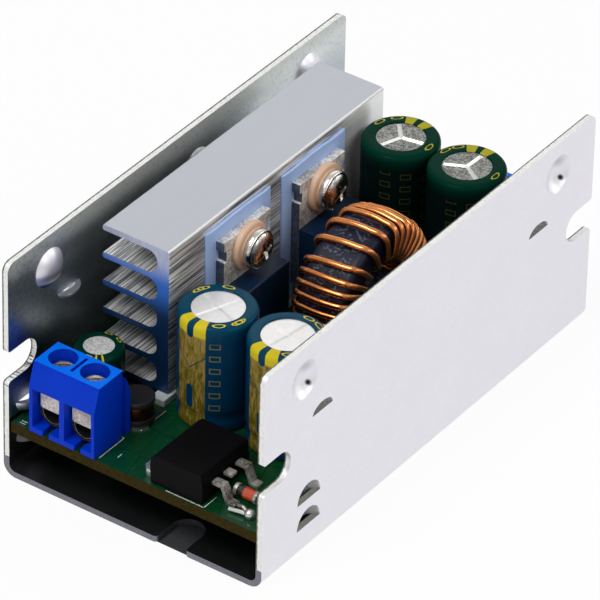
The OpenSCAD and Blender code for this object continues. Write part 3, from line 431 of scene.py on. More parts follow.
def shrunk_sleeve(name, size, base, rim_tone, stripe, stripe_at, stripe_half, marks,
                  columns=(), worn_ink=0.6, shine=0.07):
    """Printed film on a can. Angles in degrees round the can, heights in millimetres.

    size holds the middle of the can's foot, its radius and its height. stripe is the colour
    of the stripe, marks are the angles of the small rings printed on the top edge, and
    columns those of the columns of worn boxes on the side.
    """
    centre, radius, rim = size
    f = Finish(name, Specular_IOR_Level=shine)
    x, y, z = f.parts(centre)
    turn = y.math("ARCTAN2", x) * (180 / pi)
    reach = (x * x + y * y).math("SQRT")

    def degrees_from(at):
        return ((turn - at + 540) / 360).math("FRACT") * 360 - 180

    across = abs(degrees_from(stripe_at))
    cloud = f.noise(3, 2, 0.5)
    tone = f.mix(cloud, shade(base, 0.85), shade(base, 1.2))
    tone = f.mix(f.step(z, rim - 1.2, 1.3), tone, rim_tone)

    arc = across * (pi / 180 * radius)
    bar_half = radius * 0.105

    def round_bar(low, high):
        """A bar with rounded ends, down the middle of the stripe."""
        past = abs(z - (low + high) / 2) - ((high - low) / 2 - bar_half)
        past = past | 0.0
        return 1 - f.step((arc * arc + past * past).math("SQRT"), bar_half, 0.06)

    on_stripe = 1 - f.step(across, stripe_half, 0.6)
    vee = z - (rim - 6.8) - across * 0.085
    dark = round_bar(rim - 2.1, rim + 2) | round_bar(rim - 13.1, rim - 9.5)
    dark = dark | f.band(vee, -0.10, 0.10, 0.05)
    streaks = f.noise(0.5, 4, 0.75, grain=(1, 1, 0.25))
    grainy = f.step(streaks + (z / rim) * 0.12, 0.57, 0.14)
    worn = f.mix(grainy, shade(stripe, 0.14), (stripe[0] * 0.46, stripe[1] * 0.39, 0.06))
    fresh = f.mix(streaks, shade(stripe, 0.8), stripe)
    printed = f.mix(f.step(z, rim - 1.7, 0.25), worn, fresh)
    tone = f.mix(on_stripe * (1 - dark), tone, printed)

    for at in marks:
        side = degrees_from(at) * (pi / 180) * reach
        out = reach - radius * 0.83
        far = ((side * 0.72) * (side * 0.72) + (out * 1.7) * (out * 1.7)).math("SQRT")
        ring = f.band(far, radius * 0.085, radius * 0.12, 0.03) * f.step(z, rim - 0.6, 0.05)
        tone = f.mix(ring, tone, shade(stripe, 0.95))
    for at in columns:
        side = degrees_from(at) * (pi / 180) * reach
        beat = (z * 0.52 + at * 0.01).math("FRACT")
        tall, wide = f.band(beat, 0.30, 0.75, 0.02), f.band(side, -0.75, 0.75, 0.05)
        ends = tall - f.band(beat, 0.38, 0.67, 0.02)
        sides = wide - f.band(side, -0.60, 0.60, 0.05)
        box = (ends * wide) | (sides * (wide * tall))
        inside = f.band(z, 3.5, rim - 2.4, 0.3)
        tone = f.mix(box * inside * worn_ink, tone, shade(stripe, 0.38))
    f.feed("Base Color", tone)
    f.feed("Roughness", lerp(cloud, 0.16, 0.28))
    f.bump(f.noise(1.2, 3, 0.6) + cloud, 0.02, 0.3)
    return f.material


def banded_glass(centre, band_end):
    """Orange glass body, dark up to band_end, a distance in millimetres from its middle."""
    f = Finish("banded_glass", Coat_Weight=0.8, Coat_Roughness=0.03)
    x = f.parts(centre)[0]
    cloud = f.noise(1.5, 2, 0.5)
    orange = f.mix(cloud, (0.48, 0.03, 0.006), (0.66, 0.08, 0.015))
    band = 1 - f.step(x, band_end, 0.05)
    f.feed("Base Color", f.mix(band, orange, (0.012, 0.010, 0.010)))
    f.feed("Roughness", lerp(cloud, 0.08, 0.16))
    return f.material


DENTS = ((-28.4, 28.0), (28.4, 28.0))
SHEET = (0.87, 0.855, 0.91)
FINISHES = {
    "case_sheet": sheet_metal("sheet_metal", SHEET),
    "board": solder_mask(),
    # the fade to near white from y 14 to 20 is painted light where the output cap shades the right
    # face
    "heatsink_metal": extruded(
        "die_lines", (1, 0.02, 1), (1.0, 0.99, 0.97), (0.14, 0.15, 0.17), rough=0.30,
        contrast=0.08, solid=0.5, fades=[("y", 14, 20, (0.95, 0.96, 0.97))]
    ),
    "tinned_metal": metal("tinned_metal", (0.84, 0.83, 0.79), (0.50, 0.49, 0.47), 0.28, 0.5, 0.04),
    "thermal_rubber": moulded("thermal_rubber", (0.44, 0.61, 1.0), 0.55, 0.3, 0.02, 0.05),
    "tab_metal": metal(
        "tab_metal", (1.0, 0.97, 0.92), (0.36, 0.33, 0.30), 0.42, 0.40, 0.10, 0.3, 0.14
    ),
    "black_moulding": moulded("black_moulding", (0.0045, 0.0040, 0.0048), 0.42, 0.22, 0.02,
                              shine=0.03),
    "bushing_plastic": moulded("bushing_plastic", (0.72, 0.47, 0.32), 0.42, 0.5, 0.01, 0.15),
    "screw_metal": metal("screw_metal", (0.96, 0.93, 0.88), (0.50, 0.45, 0.40), 0.13, 0.8, 0.14),
    "terminal_plastic": moulded("terminal_plastic", (0.0001, 0.038, 0.56), 0.30, 0.4, 0.004,
                                0.08, 0.07),
    "can_metal": metal(
        "can_metal", (1.0, 0.99, 0.98), (0.66, 0.65, 0.64), 0.34, 0.16, 0.02, 0.6
    ),
    "bung_rubber": moulded("bung_rubber", (0.02, 0.02, 0.02), 0.7),
    "core_coating": core_paint(middle("choke_core")),
    "copper_wire": enamelled_copper(),
    "ferrite": moulded("ferrite", (0.010, 0.009, 0.010), 0.45, 0.3, 0.05, 0.2),
    "diode_glass": banded_glass(middle("diode_glass"), -0.3125),
    "resistor_ceramic": moulded("resistor_ceramic", (0.015, 0.015, 0.017), 0.35),
    "capacitor_ceramic": moulded("capacitor_ceramic", (0.40, 0.27, 0.16), 0.45),
}
# sheet with a painted highlight and painted shade on each dent outside, and painted shade and a
# painted blue reflection on each boss inside
DENT_PAINTED_LIGHT = sheet_metal("dent_sheet_painted_light", SHEET, dents=DENTS)
BOSS_PAINTED_LIGHT = sheet_metal("boss_sheet_painted_light", SHEET, bosses=DENTS)
INNER_SHEET = inner_sheet()
# painted shade: dark sheet for the floor and the left wall under the board
SHADED_FLOOR = sheet_metal("floor_sheet_painted_shade", (0.10, 0.10, 0.11), solid=1.0)
EDGE = sheared_edge("sheared_edge", (1.0, 1.0, 0.97), (0.72, 0.71, 0.68), solid=0.4,
                    shade_lines_at=(-20.46, 19.60), punched=(14.0, 20.6))
# painted shade: a darker copy of the cut edge for the lances' cuts
LANCE_EDGE_SHADED = sheared_edge("lance_edge_painted_shade", (0.46, 0.47, 0.40), (0.07, 0.08, 0.06), solid=0.3)
# painted shade: a darker copy of the cut edge for the floor's edges
FLOOR_EDGE_SHADED = sheared_edge("floor_edge_painted_shade", (0.26, 0.26, 0.30), (0.12, 0.12, 0.14))
# sawn ends: the lavender-blue tone and the blue fade lower down are a painted reflection of the
# blue terminal, and the near-black fade below is painted shade
SAWN = extruded(
    "sawn_metal", (1, 1, 0.12), (0.68, 0.72, 0.88), (0.46, 0.49, 0.64), rough=0.42,
    contrast=0.3, solid=0.6, nick=0.1,
    fades=[("z", 30.5, 26, (0.02, 0.19, 0.72)), ("z", 26, 21, (0.004, 0.030, 0.09))]
)
MILLED = extruded(
    "milled_metal", (1, 0.05, 1), (0.485, 0.505, 0.54), (0.445, 0.465, 0.50), rough=0.36,
    contrast=0.4, nick=0.02
)
# painted light: a lighter copy of the terminal plastic for its top faces
TERMINAL_TOP_LIT = moulded("terminal_top_painted_light", (0.0002, 0.16, 0.90), 0.30, 0.4, 0.004, 0.06, 0.05)
# painted shade: a darker copy of the terminal plastic for the bore walls
BORE_SHADE = moulded("terminal_bore_painted_shade", (0.0002, 0.016, 0.22), 0.30, 0.4, 0.004, 0.08, 0.3)
WIRE_PLATE = metal(
    "wire_plate", (0.92, 0.84, 0.79), (0.42, 0.37, 0.34), 0.45, 0.40, 0.05, 0.2, 0.14)
# painted shade: a dark copy of the tab metal for its front faces
TAB_SIDE_SHADE = metal("tab_side_painted_shade", (0.16, 0.19, 0.24), (0.04, 0.05, 0.07), 0.40, 0.45, 0.08, 0.5, 0.2)
# black moulding with a painted blue reflection in its shade
NAVY_REFLECTION = moulded("moulding_painted_blue_reflection", (0.003, 0.016, 0.045), 0.32, 0.3, 0.01, shine=0.35)
# painted shade: dark finish for the terminal cages
CAGE_SHADE = moulded("cage_painted_shade", (0.010, 0.009, 0.009), 0.5, 0.3, 0.02, shine=0.2)
# painted highlight: a white band for the heatsink's top right edge
ARRIS_HIGHLIGHT = metal("arris_painted_highlight", (0.98, 0.98, 0.96), (0.80, 0.80, 0.80), 0.35, 0.3, 0.03, 0.0)
DULL_TIN = metal("dull_tin", (0.80, 0.83, 0.82), (0.52, 0.55, 0.54), 0.48, 0.5, 0.04, 0.3)
OUTPUT_LID = speckled("output_lid", (0.42, 0.42, 0.39), (0.03, 0.03, 0.03), 0.36)
BIAS_LID = speckled("bias_lid", (1.0, 0.99, 0.97), (0.55, 0.54, 0.53), 0.45, 0.3)
# a darker copy of tin: wear, and painted shade on the leads and diode ends
WORN_SHADED_TIN = metal(
    "worn_tin_painted_shade", (0.66, 0.64, 0.58), (0.10, 0.09, 0.08), 0.40, 0.40, 0.08, 0.6, 0.15)
# painted shade: a darker copy of copper for the drum coil's winding
SHADED_WINDING = metal("winding_painted_shade", (0.16, 0.045, 0.015), (0.03, 0.010, 0.005), 0.3, 0.5, 0.03)
LAMINATE = laminate()
INK = moulded("white_ink", (0.72, 0.74, 0.72), 0.55, 0.2, 0.01)
NODE_SLOT = {s["node"]: s["material_slot"] for s in frame["record"]["subparts"]}


# ---------------------------------------------------------------- making pieces

def linked(name, data):
    """A new object in the scene that holds some data."""
    obj = bpy.data.objects.new(name, data)
    bpy.context.scene.collection.objects.link(obj)
    return obj


def give_finish(node, slot):
    """Shows a CAD node's own solid, in the finish of a slot."""
    own = frame["nodes"][node].data.materials
    own.clear()
    own.append(FINISHES[slot])


def keep(name, work, slot, *stands_for, materials=()):
    """Turns a bmesh into a finished piece that rides with the module."""
    mesh = bpy.data.meshes.new(name)
    work.to_mesh(mesh)
    work.free()
    if "custom_normal" in mesh.attributes:
        mesh.attributes.remove(mesh.attributes["custom_normal"])
    mesh.polygons.foreach_set("use_smooth", [True] * len(mesh.polygons))
    mesh.set_sharp_from_angle(angle=radians(SMOOTH_BELOW))
    obj = linked(name, mesh)
    for material in materials or [FINISHES[slot]]:
        mesh.materials.append(material)
    flatten = obj.modifiers.new("flat_faces_stay_flat", "WEIGHTED_NORMAL")
    flatten.keep_sharp = True
    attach(obj, BODY)
    if stands_for:
        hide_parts(*stands_for)
    return obj


def copied(node):
    """A CAD node's solid with its loose triangles merged and its flats made whole."""
    work = bmesh.new()
    work.from_mesh(frame["nodes"][node].data)
    bmesh.ops.remove_doubles(work, verts=work.verts, dist=WELD)
    bmesh.ops.dissolve_limit(
        work, angle_limit=radians(0.3), verts=work.verts, edges=work.edges
    )
    return work


def ease(work, width, segments=2, least=28, chosen=None):
    """Rounds every edge that is sharper than least degrees, or those that a test chooses."""
    work.normal_update()
    sharp = [e for e in work.edges if e.is_manifold and e.calc_face_angle(0) > radians(least)
             and (chosen is None or chosen(e))]
    bmesh.ops.bevel(
        work, geom=sharp, offset=width * MM, offset_type="OFFSET", segments=segments,
        profile=0.5, affect="EDGES", material=-1, clamp_overlap=True,
    )
    return work


def dress(name, node, width, segments=2, materials=()):
    """Keeps a CAD node's solid as a piece with its edges eased."""
    keep(name, ease(copied(node), width, segments), NODE_SLOT[node], node, materials=materials)


def paint(work, index, chosen):
    """Gives a material index to the faces whose normal and middle in millimetres pass a test."""
    work.normal_update()
    for face in work.faces:
        if chosen(face.normal, face.calc_center_median() / MM):
            face.material_index = index


def rounded(before, here, after, reach, steps):
    """Points of a curve that leaves a straight line at reach from its corner."""
    start = here + (before - here).normalized() * reach
    end = here + (after - here).normalized() * reach
    shares = [k / steps for k in range(steps + 1)]
    return [start.lerp(here, t).lerp(here.lerp(end, t), t) for t in shares]


def soft_corners(corners):
    """A polyline of (across, up, radius) corners, each rounded by its radius."""
    places = [Vector(corner[:2]) for corner in corners]
    line = []
    for i, (*_, radius) in enumerate(corners):
        if radius == 0 or i in (0, len(corners) - 1):
            line.append(places[i])
        else:
            line += rounded(places[i - 1], places[i], places[i + 1], radius, 4)
    return line


def turned_from_z(axis):
    """The turn that brings +Z onto an axis."""
    return Vector((0, 0, 1)).rotation_difference(Vector(axis)).to_matrix().to_4x4()


def lathe(corners, centre, axis=(0, 0, 1), steps=64, closed=False):
    """Spins a profile of (radius, height, rounding) in millimetres round an axis."""
    line = soft_corners(corners)
    work = bmesh.new()
    verts = [work.verts.new((p.x * MM, 0, p.y * MM)) for p in line]
    edges = [work.edges.new(ends) for ends in zip(verts, verts[1:])]
    if closed:
        edges.append(work.edges.new((verts[-1], verts[0])))
    bmesh.ops.spin(
        work, geom=verts + edges, cent=(0, 0, 0), axis=(0, 0, 1), angle=2 * pi,
        steps=steps, use_merge=True,
    )
    bmesh.ops.remove_doubles(work, verts=work.verts, dist=WELD)
    bmesh.ops.recalc_face_normals(work, faces=work.faces)
    work.transform(Matrix.Translation(centre) @ turned_from_z(axis))
    return work


def block(low, high, work=None):
    """A box between two corners in metres."""
    work = work or bmesh.new()
    low, high = Vector(low), Vector(high)
    size = high - low
    place = Matrix.Translation((low + high) / 2) @ Matrix.Diagonal((*size, 1))
    bmesh.ops.create_cube(work, size=1, matrix=place)
    return work


def evaluated(obj):
    """A bmesh of an object's final mesh."""
    mesh = bpy.data.meshes.new_from_object(obj.evaluated_get(
        bpy.context.evaluated_depsgraph_get()))
    work = bmesh.new()
    work.from_mesh(mesh)
    bpy.data.meshes.remove(mesh)
    return work


def tube(points, radius, resolution):
    """A wire along points given in metres, with closed ends."""
    curve = bpy.data.curves.new("wire", "CURVE")
    curve.dimensions = "3D"
    curve.bevel_depth = radius * MM
    curve.bevel_resolution = resolution
    curve.use_fill_caps = True
    spline = curve.splines.new("POLY")
    spline.points.add(len(points) - 1)
    for knot, point in zip(spline.points, points):
        knot.co = (*point, 1)
    holder = linked("wire", curve)
    work = evaluated(holder)
    bpy.data.objects.remove(holder)
    bpy.data.curves.remove(curve)
    bmesh.ops.recalc_face_normals(work, faces=work.faces)
    return work


def join(*works):
    """Several bmeshes as one."""
    whole = bmesh.new()
    for work in works:
        mesh = bpy.data.meshes.new("part")
        work.to_mesh(mesh)
        work.free()
        whole.from_mesh(mesh)
        bpy.data.meshes.remove(mesh)
    return whole


def carve(work, cutter):
    """Cuts one closed bmesh out of another."""
    made = []
    for name, shape in (("blank", work), ("cutter", cutter)):
        mesh = bpy.data.meshes.new(name)
        shape.to_mesh(mesh)
        shape.free()
        made.append(linked(name, mesh))
    blank, tool = made
    cut = blank.modifiers.new("cut", "BOOLEAN")
    cut.operation = "DIFFERENCE"
    cut.solver = "EXACT"
    cut.use_self = True
    cut.object = tool
    result = evaluated(blank)
    for obj in made:
        spare = obj.data
        bpy.data.objects.remove(obj)
        bpy.data.meshes.remove(spare)
    bmesh.ops.remove_doubles(result, verts=result.verts, dist=MM * 1e-4)
    return result


# ---------------------------------------------------------------- case, board and heatsink

def make_case():
    """The folded channel: soft rims where it is pressed, and a finish for each zone.

    Cut edges are bright; the lances' cuts and the floor's edges are painted shade. Outside it
    shows the dents of the dimples and inside the left wall their bosses, both with painted
    highlight and shade. Below the board the sheet is painted shade.
    """
    half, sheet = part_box("case_channel")[1].x / MM, 0.9
    bend_top, board_top, dimple_foot = 3, 9, 20         # heights where the finish changes
    notch_foot, notch_top, rim = 13.5, 21, 30
    shaded_floor_height, bend = 1.6, 3                             # height of the painted shade zone low down, and reach from the wall
    work = copied("case_channel")

    def pressed(edge):
        flat, domed = sorted(abs(face.normal.x) for face in edge.link_faces)[::-1]
        return flat > 0.995 and 0.12 < domed < 0.95 and edge.verts[0].co.z > MM * 5

    ease(work, 0.35, segments=4, least=8, chosen=pressed)
    ease(work, 0.13)
    for height in (bend_top, board_top):
        bmesh.ops.bisect_plane(
            work, geom=work.verts[:] + work.edges[:] + work.faces[:], dist=MM * 1e-4,
            plane_co=mm(0, 0, height), plane_no=(0, 0, 1))

    def wall_cut(normal, at):
        return at.z > bend_top and abs(normal.x) < 0.35 and abs(at.x) > half - sheet - 0.1

    def floor_cut(normal, at):
        return at.z < bend_top and (abs(normal.y) > 0.7 or (
            abs(normal.z) < 0.3 and abs(at.x) < half - bend))

    def lance_cut(normal, at):
        return wall_cut(normal, at) and abs(normal.z) > 0.5 and (
            at.z < notch_foot or notch_top < at.z < rim)

    # painted shade on the floor's top face under the board
    def floor_top(normal, at):
        return normal.z > 0.5 and 0.5 < at.z < shaded_floor_height

    def outside(normal, at):
        return normal.x * at.x > 5 and at.z > dimple_foot

    def boss(normal, at):
        return normal.x > 0.3 and at.x < bend - half and at.z > dimple_foot

    def inner_face(normal, at):
        return normal.x > 0.95 and -half < at.x < 2 - half and at.z > board_top

    # painted shade on the left wall below the board
    def left_below_board(normal, at):
        raised = at.x > sheet - half + 0.05
        return at.x < bend - half and (
            normal.x > 0.3 and 0.5 < at.z < board_top or raised and shaded_floor_height < at.z < board_top)

    zones = ((wall_cut, EDGE), (floor_cut, FLOOR_EDGE_SHADED), (lance_cut, LANCE_EDGE_SHADED),
             (floor_top, SHADED_FLOOR), (outside, DENT_PAINTED_LIGHT), (boss, BOSS_PAINTED_LIGHT),
             (inner_face, INNER_SHEET), (left_below_board, SHADED_FLOOR))
    finishes = [FINISHES["case_sheet"], EDGE, FLOOR_EDGE_SHADED, SHADED_FLOOR, INNER_SHEET,
                LANCE_EDGE_SHADED, DENT_PAINTED_LIGHT, BOSS_PAINTED_LIGHT]
    for zone, finish in zones:
        paint(work, finishes.index(finish), zone)
    keep("folded_case", work, "case_sheet", "case_channel", materials=finishes)


def make_board():
    work = copied("circuit_board")
    paint(work, 1, lambda normal, at: abs(normal.z) < 0.5)
    keep("board", work, "board", "circuit_board", materials=[FINISHES["board"], LAMINATE])


def make_ink():
    """White outlines printed on the board beside the parts, and a mark at each wire entry."""
    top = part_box("circuit_board")[1].z
    thick, half_line = 0.03, MM * 0.055
    clamp, clamp_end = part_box("input_terminal_housing")
    drum, drum_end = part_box("drum_coil_base")
    body, body_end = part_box("rectifier_body")
    work = bmesh.new()

    def stroke(x0, y0, x1, y1):
        block((x0 - half_line, y0 - half_line, top),
              (x1 + half_line, y1 + half_line, top + MM * thick), work)

    beside, rear = clamp_end.x + MM * 0.3, clamp_end.y - MM * 1.7
    stroke(beside, clamp.y + MM * 0.8, beside, rear)
    stroke(clamp_end.x, rear, beside, rear)
    right = drum_end.x - MM * 0.48
    stroke(right, drum.y + MM * 0.7, right, drum_end.y + MM * 1.2)
    front, edge = body.y - MM * 0.22, body_end.x + MM * 0.4
    stroke(body.x + MM * 2.8, front, edge, front)
    stroke(edge, front, edge, body.y + MM * 2.4)
    long, apart = MM * 0.4, MM * 0.45
    for sign in (1, -1):
        minus, plus = mm(-3.88, -34.25) * sign, mm(-17.95, -36.2) * sign
        stroke(minus.x, minus.y - long, minus.x, minus.y + long)
        for y in (plus.y, plus.y + sign * apart):
            stroke(plus.x - long, y, plus.x + long, y)
    for node in ("output_cap_left_sleeve", "output_cap_right_sleeve"):
        foot, radius, _ = can_size(node)
        inner, outer = radius + 0.3, radius + 0.48
        ring = lathe([(inner, 0, 0), (outer, 0, 0), (outer, thick, 0), (inner, thick, 0)],
                     (foot.x, foot.y, top), steps=72, closed=True)
        work = join(work, ring)
    keep("board_ink", work, "board", materials=[INK])


def make_heatsink():
    """The extrusion, with sawn ends, a milled top and a painted highlight along its top right
    edge, on its rail.
    """
    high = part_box("heatsink")[1]
    top = high.z / MM

    def along_corner(edge):
        return all(v.co.z > high.z - 1e-5 and v.co.x > high.x - 1e-5 for v in edge.verts)

    work = ease(copied("heatsink"), 0.26, chosen=along_corner)
    ease(work, 0.14, least=48)
    paint(work, 1, lambda normal, at: abs(normal.y) > 0.8)
    paint(work, 2, lambda normal, at: normal.z > 0.9 and at.z > top - 0.2)
    # painted highlight on the top right edge
    paint(work, 3, lambda normal, at: normal.z > 0.2 and normal.x > 0.2 and at.z > top - 0.3)
    keep("finned_heatsink", work, "heatsink_metal", "heatsink",
         materials=[FINISHES["heatsink_metal"], SAWN, MILLED, ARRIS_HIGHLIGHT])
    dress("rail", "heatsink_rail", 0.12, materials=[DULL_TIN])


# ---------------------------------------------------------------- clamped power devices

def make_pad(where):
    """Silicone pad: a sheet that has crept out a little at its free edges."""
    node = "thermal_pad_" + where
    low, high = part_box(node)
    work = block(low, high)
    bmesh.ops.subdivide_edges(
        work, edges=[e for e in work.edges if abs((e.verts[0].co - e.verts[1].co).x) < MM * 0.1],
        cuts=15, use_grid_fill=True,
    )
    centre, half, creep = (low + high) / 2, (high - low) / 2, MM * 0.10
    for vert in work.verts:
        out = abs(vert.co.y - centre.y) / half.y
        rise = (vert.co.z - centre.z) / half.z
        lift = max(out - 0.80, 0) / 0.20
        vert.co.x -= creep * lift * lift * (1 if vert.co.x > centre.x else 0)
        vert.co.z += creep * sin(out * 5 + rise) * max(rise, 0) - creep * max(rise, 0)
    keep("pad_" + where, ease(work, 0.08, least=50), "thermal_rubber", node)


def make_screw(where):
    """Domed head with a cross recess, on its shank."""
    low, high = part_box("bushing_" + where)
    centre = Vector((high.x, (low.y + high.y) / 2, (low.z + high.z) / 2))
    head, rise, shank, reach = 2.85, 1.8, 1.5, 4.7
    work = lathe(
        [(0, -reach, 0), (shank, -reach, 0.1), (shank, 0, 0), (head - 0.15, 0, 0.05),
         (head, 0.75, 0.4), (head * 0.72, rise * 0.93, 1.0), (0, rise, 0)],
        centre, ALONG_X, steps=72,
    )
    cutter = bmesh.new()
    for turn in (18, 108):
        blade = bmesh.ops.create_cube(cutter, size=1)["verts"]
        for vert in blade:
            length, width, height = (
                (1.5, 0.30, rise - 1.35) if vert.co.z < 0 else (3.5, 0.66, rise + 0.6))
            vert.co = mm(vert.co.x * length, vert.co.y * width, height)
        bmesh.ops.rotate(cutter, verts=blade, cent=(0, 0, 0),
                         matrix=Matrix.Rotation(radians(turn), 3, "Z"))
    cutter.transform(Matrix.Translation(centre) @ turned_from_z(ALONG_X))
    return ease(carve(work, cutter), 0.05, least=30)


def make_devices():
    for where in ("front", "rear"):
        tab = ease(copied("device_tab_" + where), 0.1)
        # painted shade on the tab's front faces
        paint(tab, 1, lambda normal, at: normal.y < -0.8)
        keep("tab_" + where, tab, "tab_metal", "device_tab_" + where,
             materials=[FINISHES["tab_metal"], TAB_SIDE_SHADE])
        dress("moulding_" + where, "device_body_" + where, 0.1, materials=[NAVY_REFLECTION])
        dress("legs_" + where, "device_leads_" + where, 0.05, 1)
        make_pad(where)
        low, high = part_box("bushing_" + where)
        centre = Vector((low.x, (low.y + high.y) / 2, (low.z + high.z) / 2))
        outer = (high.y - low.y) / 2 / MM
        deep = (high.x - low.x) / MM
        keep("bushing_ring_" + where, lathe(
            [(1.6, 0, 0), (1.84, 0, 0), (1.84, 1.28, 0), (outer, 1.28, 0.1),
             (outer, deep - 0.35, 0.35), (outer - 0.75, deep - 0.30, 0.1),
             (outer - 0.85, deep, 0.12), (1.6, deep, 0)],
            centre, ALONG_X, steps=72, closed=True), "bushing_plastic", "bushing_" + where)
    keep("clamp_screws", join(make_screw("front"), make_screw("rear")), "screw_metal",
         "device_screws")


# ---------------------------------------------------------------- terminals

def make_clamp_screws(node):
    """Two slotted screws with rounded rims, one in each bore of a terminal."""
    low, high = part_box(node)
    radius, sink = (high.y - low.y) / MM / 2, (high.z - low.z) / MM
    crown, slot_wide, slot_deep = sink + 0.45, 0.5, 0.75
    pair = []
    for x in (low.x + radius * MM, high.x - radius * MM):
        foot = Vector((x, (low.y + high.y) / 2, low.z))
        screw = lathe(
            [(0, 0, 0), (radius - 0.25, 0, 0.2), (radius, 0.3, 0.2), (radius, sink, 0.1),
             (radius - 0.5, sink + 0.4, 0.3), (0, crown, 0)], foot, steps=48)
        cutter = block(mm(-3, -slot_wide / 2, 0), mm(3, slot_wide / 2, 2))
        turn = Matrix.Rotation(radians(35 if x < 0 else 62), 4, "Z")
        cutter.transform(Matrix.Translation(foot + mm(0, 0, crown - slot_deep)) @ turn)
        pair.append(ease(carve(screw, cutter), 0.06, least=30))
    return join(*pair)


def make_wire_plates(low, high, sign):
    """The plate in each cage that presses on the wire, with its lower corners rounded.

    low and high bound the pair of cages, and sign is the side of the module they open to.
    """
    plates = bmesh.new()
    half, play, drop, thick, proud = 1.85, 0.1, 2.3, 0.45, 0.15
    face = (low if sign < 0 else high).y / MM + sign * proud
    near, far = sorted((face, face - sign * thick))
    for x in (low.x / MM + half + play, high.x / MM - half - play):
        block(mm(x - half, near, low.z / MM + drop), mm(x + half, far, high.z / MM - play), plates)

    def lower_corner(edge):
        first, second = edge.verts
        return abs(first.co.x - second.co.x) < 1e-6 and (
            max(first.co.z, second.co.z) < low.z + MM * (drop + 0.1))

    ease(plates, 0.5, segments=4, chosen=lower_corner)
    ease(plates, 0.06, least=50)
    paint(plates, 2, lambda normal, at: True)
    return plates


def make_terminal(side, sign):
    """One two-way terminal; sign is the side of the module that its wires enter from."""
    prefix = side + "_terminal_"
    low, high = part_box(prefix + "housing")
    front, half_way_up, visor_drop = (low if sign < 0 else high).y, low.z + MM * 4, MM * 0.8
    housing = copied(prefix + "housing")
    for vert in housing.verts:
        if abs(vert.co.y - front) < 1e-5 and vert.co.z > half_way_up:
            vert.co.z -= visor_drop
    ease(housing, 0.16, segments=3)
    (inner, outer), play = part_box(prefix + "screws"), 0.6
    top, reach = high.z / MM, (outer.y - inner.y) / MM / 2 + play
    middle_y = (inner.y + outer.y) / MM / 2

    def in_bore(normal, at):
        return abs(at.y - middle_y) < reach and abs(normal.z) < 0.5 and (
            inner.z / MM < at.z < top - 0.3 and abs(at.x) < outer.x / MM + play)

    # painted light: the top face is a lighter blue than the sides
    paint(housing, 1, lambda normal, at: normal.z > 0.8 and at.z > top - 0.3)
    # painted shade inside the bores
    paint(housing, 2, in_bore)
    keep(side + "_block", housing, "terminal_plastic", prefix + "housing",
         materials=[FINISHES["terminal_plastic"], TERMINAL_TOP_LIT, BORE_SHADE])
    cages = ease(copied(prefix + "cages"), 0.1)
    # painted shade on the cages, leaving their rounded edges light
    paint(cages, 1, lambda normal, at: not 0.7 < abs(normal.y) < 0.97)
    cages = join(cages, make_wire_plates(*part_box(prefix + "cages"), sign))
    keep(side + "_cage_pair", cages, "tab_metal", prefix + "cages",
         materials=[FINISHES["tab_metal"], CAGE_SHADE, WIRE_PLATE])
    keep(side + "_clamp_screws", make_clamp_screws(prefix + "screws"), "screw_metal",
         prefix + "screws")
    dress(side + "_pin_pair", prefix + "pins", 0.06, 1)


# ---------------------------------------------------------------- capacitors

def vent_cutter(radius, top, arms, width, depth, turn):
    """V-shaped scores that meet at the middle of a can's top."""
    cutter = bmesh.new()
    for i in range(arms):
        arm = bmesh.ops.create_cube(cutter, size=1)["verts"]
        bmesh.ops.rotate(cutter, verts=arm, cent=(0, 0, 0),
                         matrix=Matrix.Rotation(radians(45), 3, "X"))
        bmesh.ops.scale(cutter, verts=arm, vec=Vector((radius, width / 1.414, depth * 1.414)) * MM)
        bmesh.ops.translate(cutter, verts=arm, vec=mm(radius / 2 - width / 3, 0, top))
        bmesh.ops.rotate(cutter, verts=arm, cent=(0, 0, 0),
                         matrix=Matrix.Rotation(radians(turn + i * 360 / arms), 3, "Z"))
    return cutter


def make_can(name, rim, finish, lid, arms=0, width=0.0, depth=0.0, turn=0.0):
    """A can in its printed sleeve; rim is the open share of its top.

    The scores in the top, as many as arms, have a width and a depth, and turn is where
    the first one points.
    """
    size = can_size(name + "_sleeve")
    foot, radius, tall = size
    film, lift, crimp = 0.16, 0.18, 2.3
    inner = radius - film
    open_r, lid_at = radius * rim, tall - film - 0.04
    can = lathe(
        [(0, lift, 0), (inner - 0.3, lift, 0.2), (inner, lift + 0.4, 0.2),
         (inner, crimp - 0.8, 0.4), (inner - 0.32, crimp, 0.5), (inner, crimp + 0.8, 0.4),
         (inner, tall - film - 0.75, 0), (inner, tall - film, 0.7),
         (open_r + 0.2, tall - film, 0), (open_r * 0.98, lid_at, 0), (0, lid_at, 0)],
        foot, steps=80,
    )
    if arms:
        cutter = vent_cutter(open_r * 1.02, 0, arms, width, depth, turn)
        cutter.transform(Matrix.Translation(foot + mm(0, 0, lid_at)))
        can = carve(can, cutter)
    paint(can, 1, lambda normal, at: normal.z > 0.97 and at.z > foot.z / MM + tall - 1)
    keep(name + "_metal", can, "can_metal", name + "_can",
         materials=[FINISHES["can_metal"], lid])
    sleeve = lathe(
        [(inner - 0.9, 0.02, 0), (radius - 0.25, 0.02, 0.2), (radius, 0.35, 0.2),
         (radius, crimp - 0.9, 0.4), (radius - 0.30, crimp, 0.6), (radius, crimp + 0.9, 0.4),
         (radius, tall - 1.0, 0), (radius - 0.04, tall - 0.03, 0.75),
         (open_r + 0.15, tall - 0.01, 0.05), (open_r, tall - 0.12, 0.05),
         (open_r + 0.05, lid_at, 0.02), (inner, tall - film, 0.6),
         (inner - 0.02, tall - 1.2, 0), (inner - 0.02, lift + 0.5, 0),
         (inner - 0.9, lift, 0)],
        foot, steps=96, closed=True,
    )
    keep(name + "_film", sleeve, NODE_SLOT[name + "_sleeve"], name + "_sleeve",
         materials=[finish(size)])
    give_finish(name + "_bung", "bung_rubber")
    give_finish(name + "_leads", "tinned_metal")


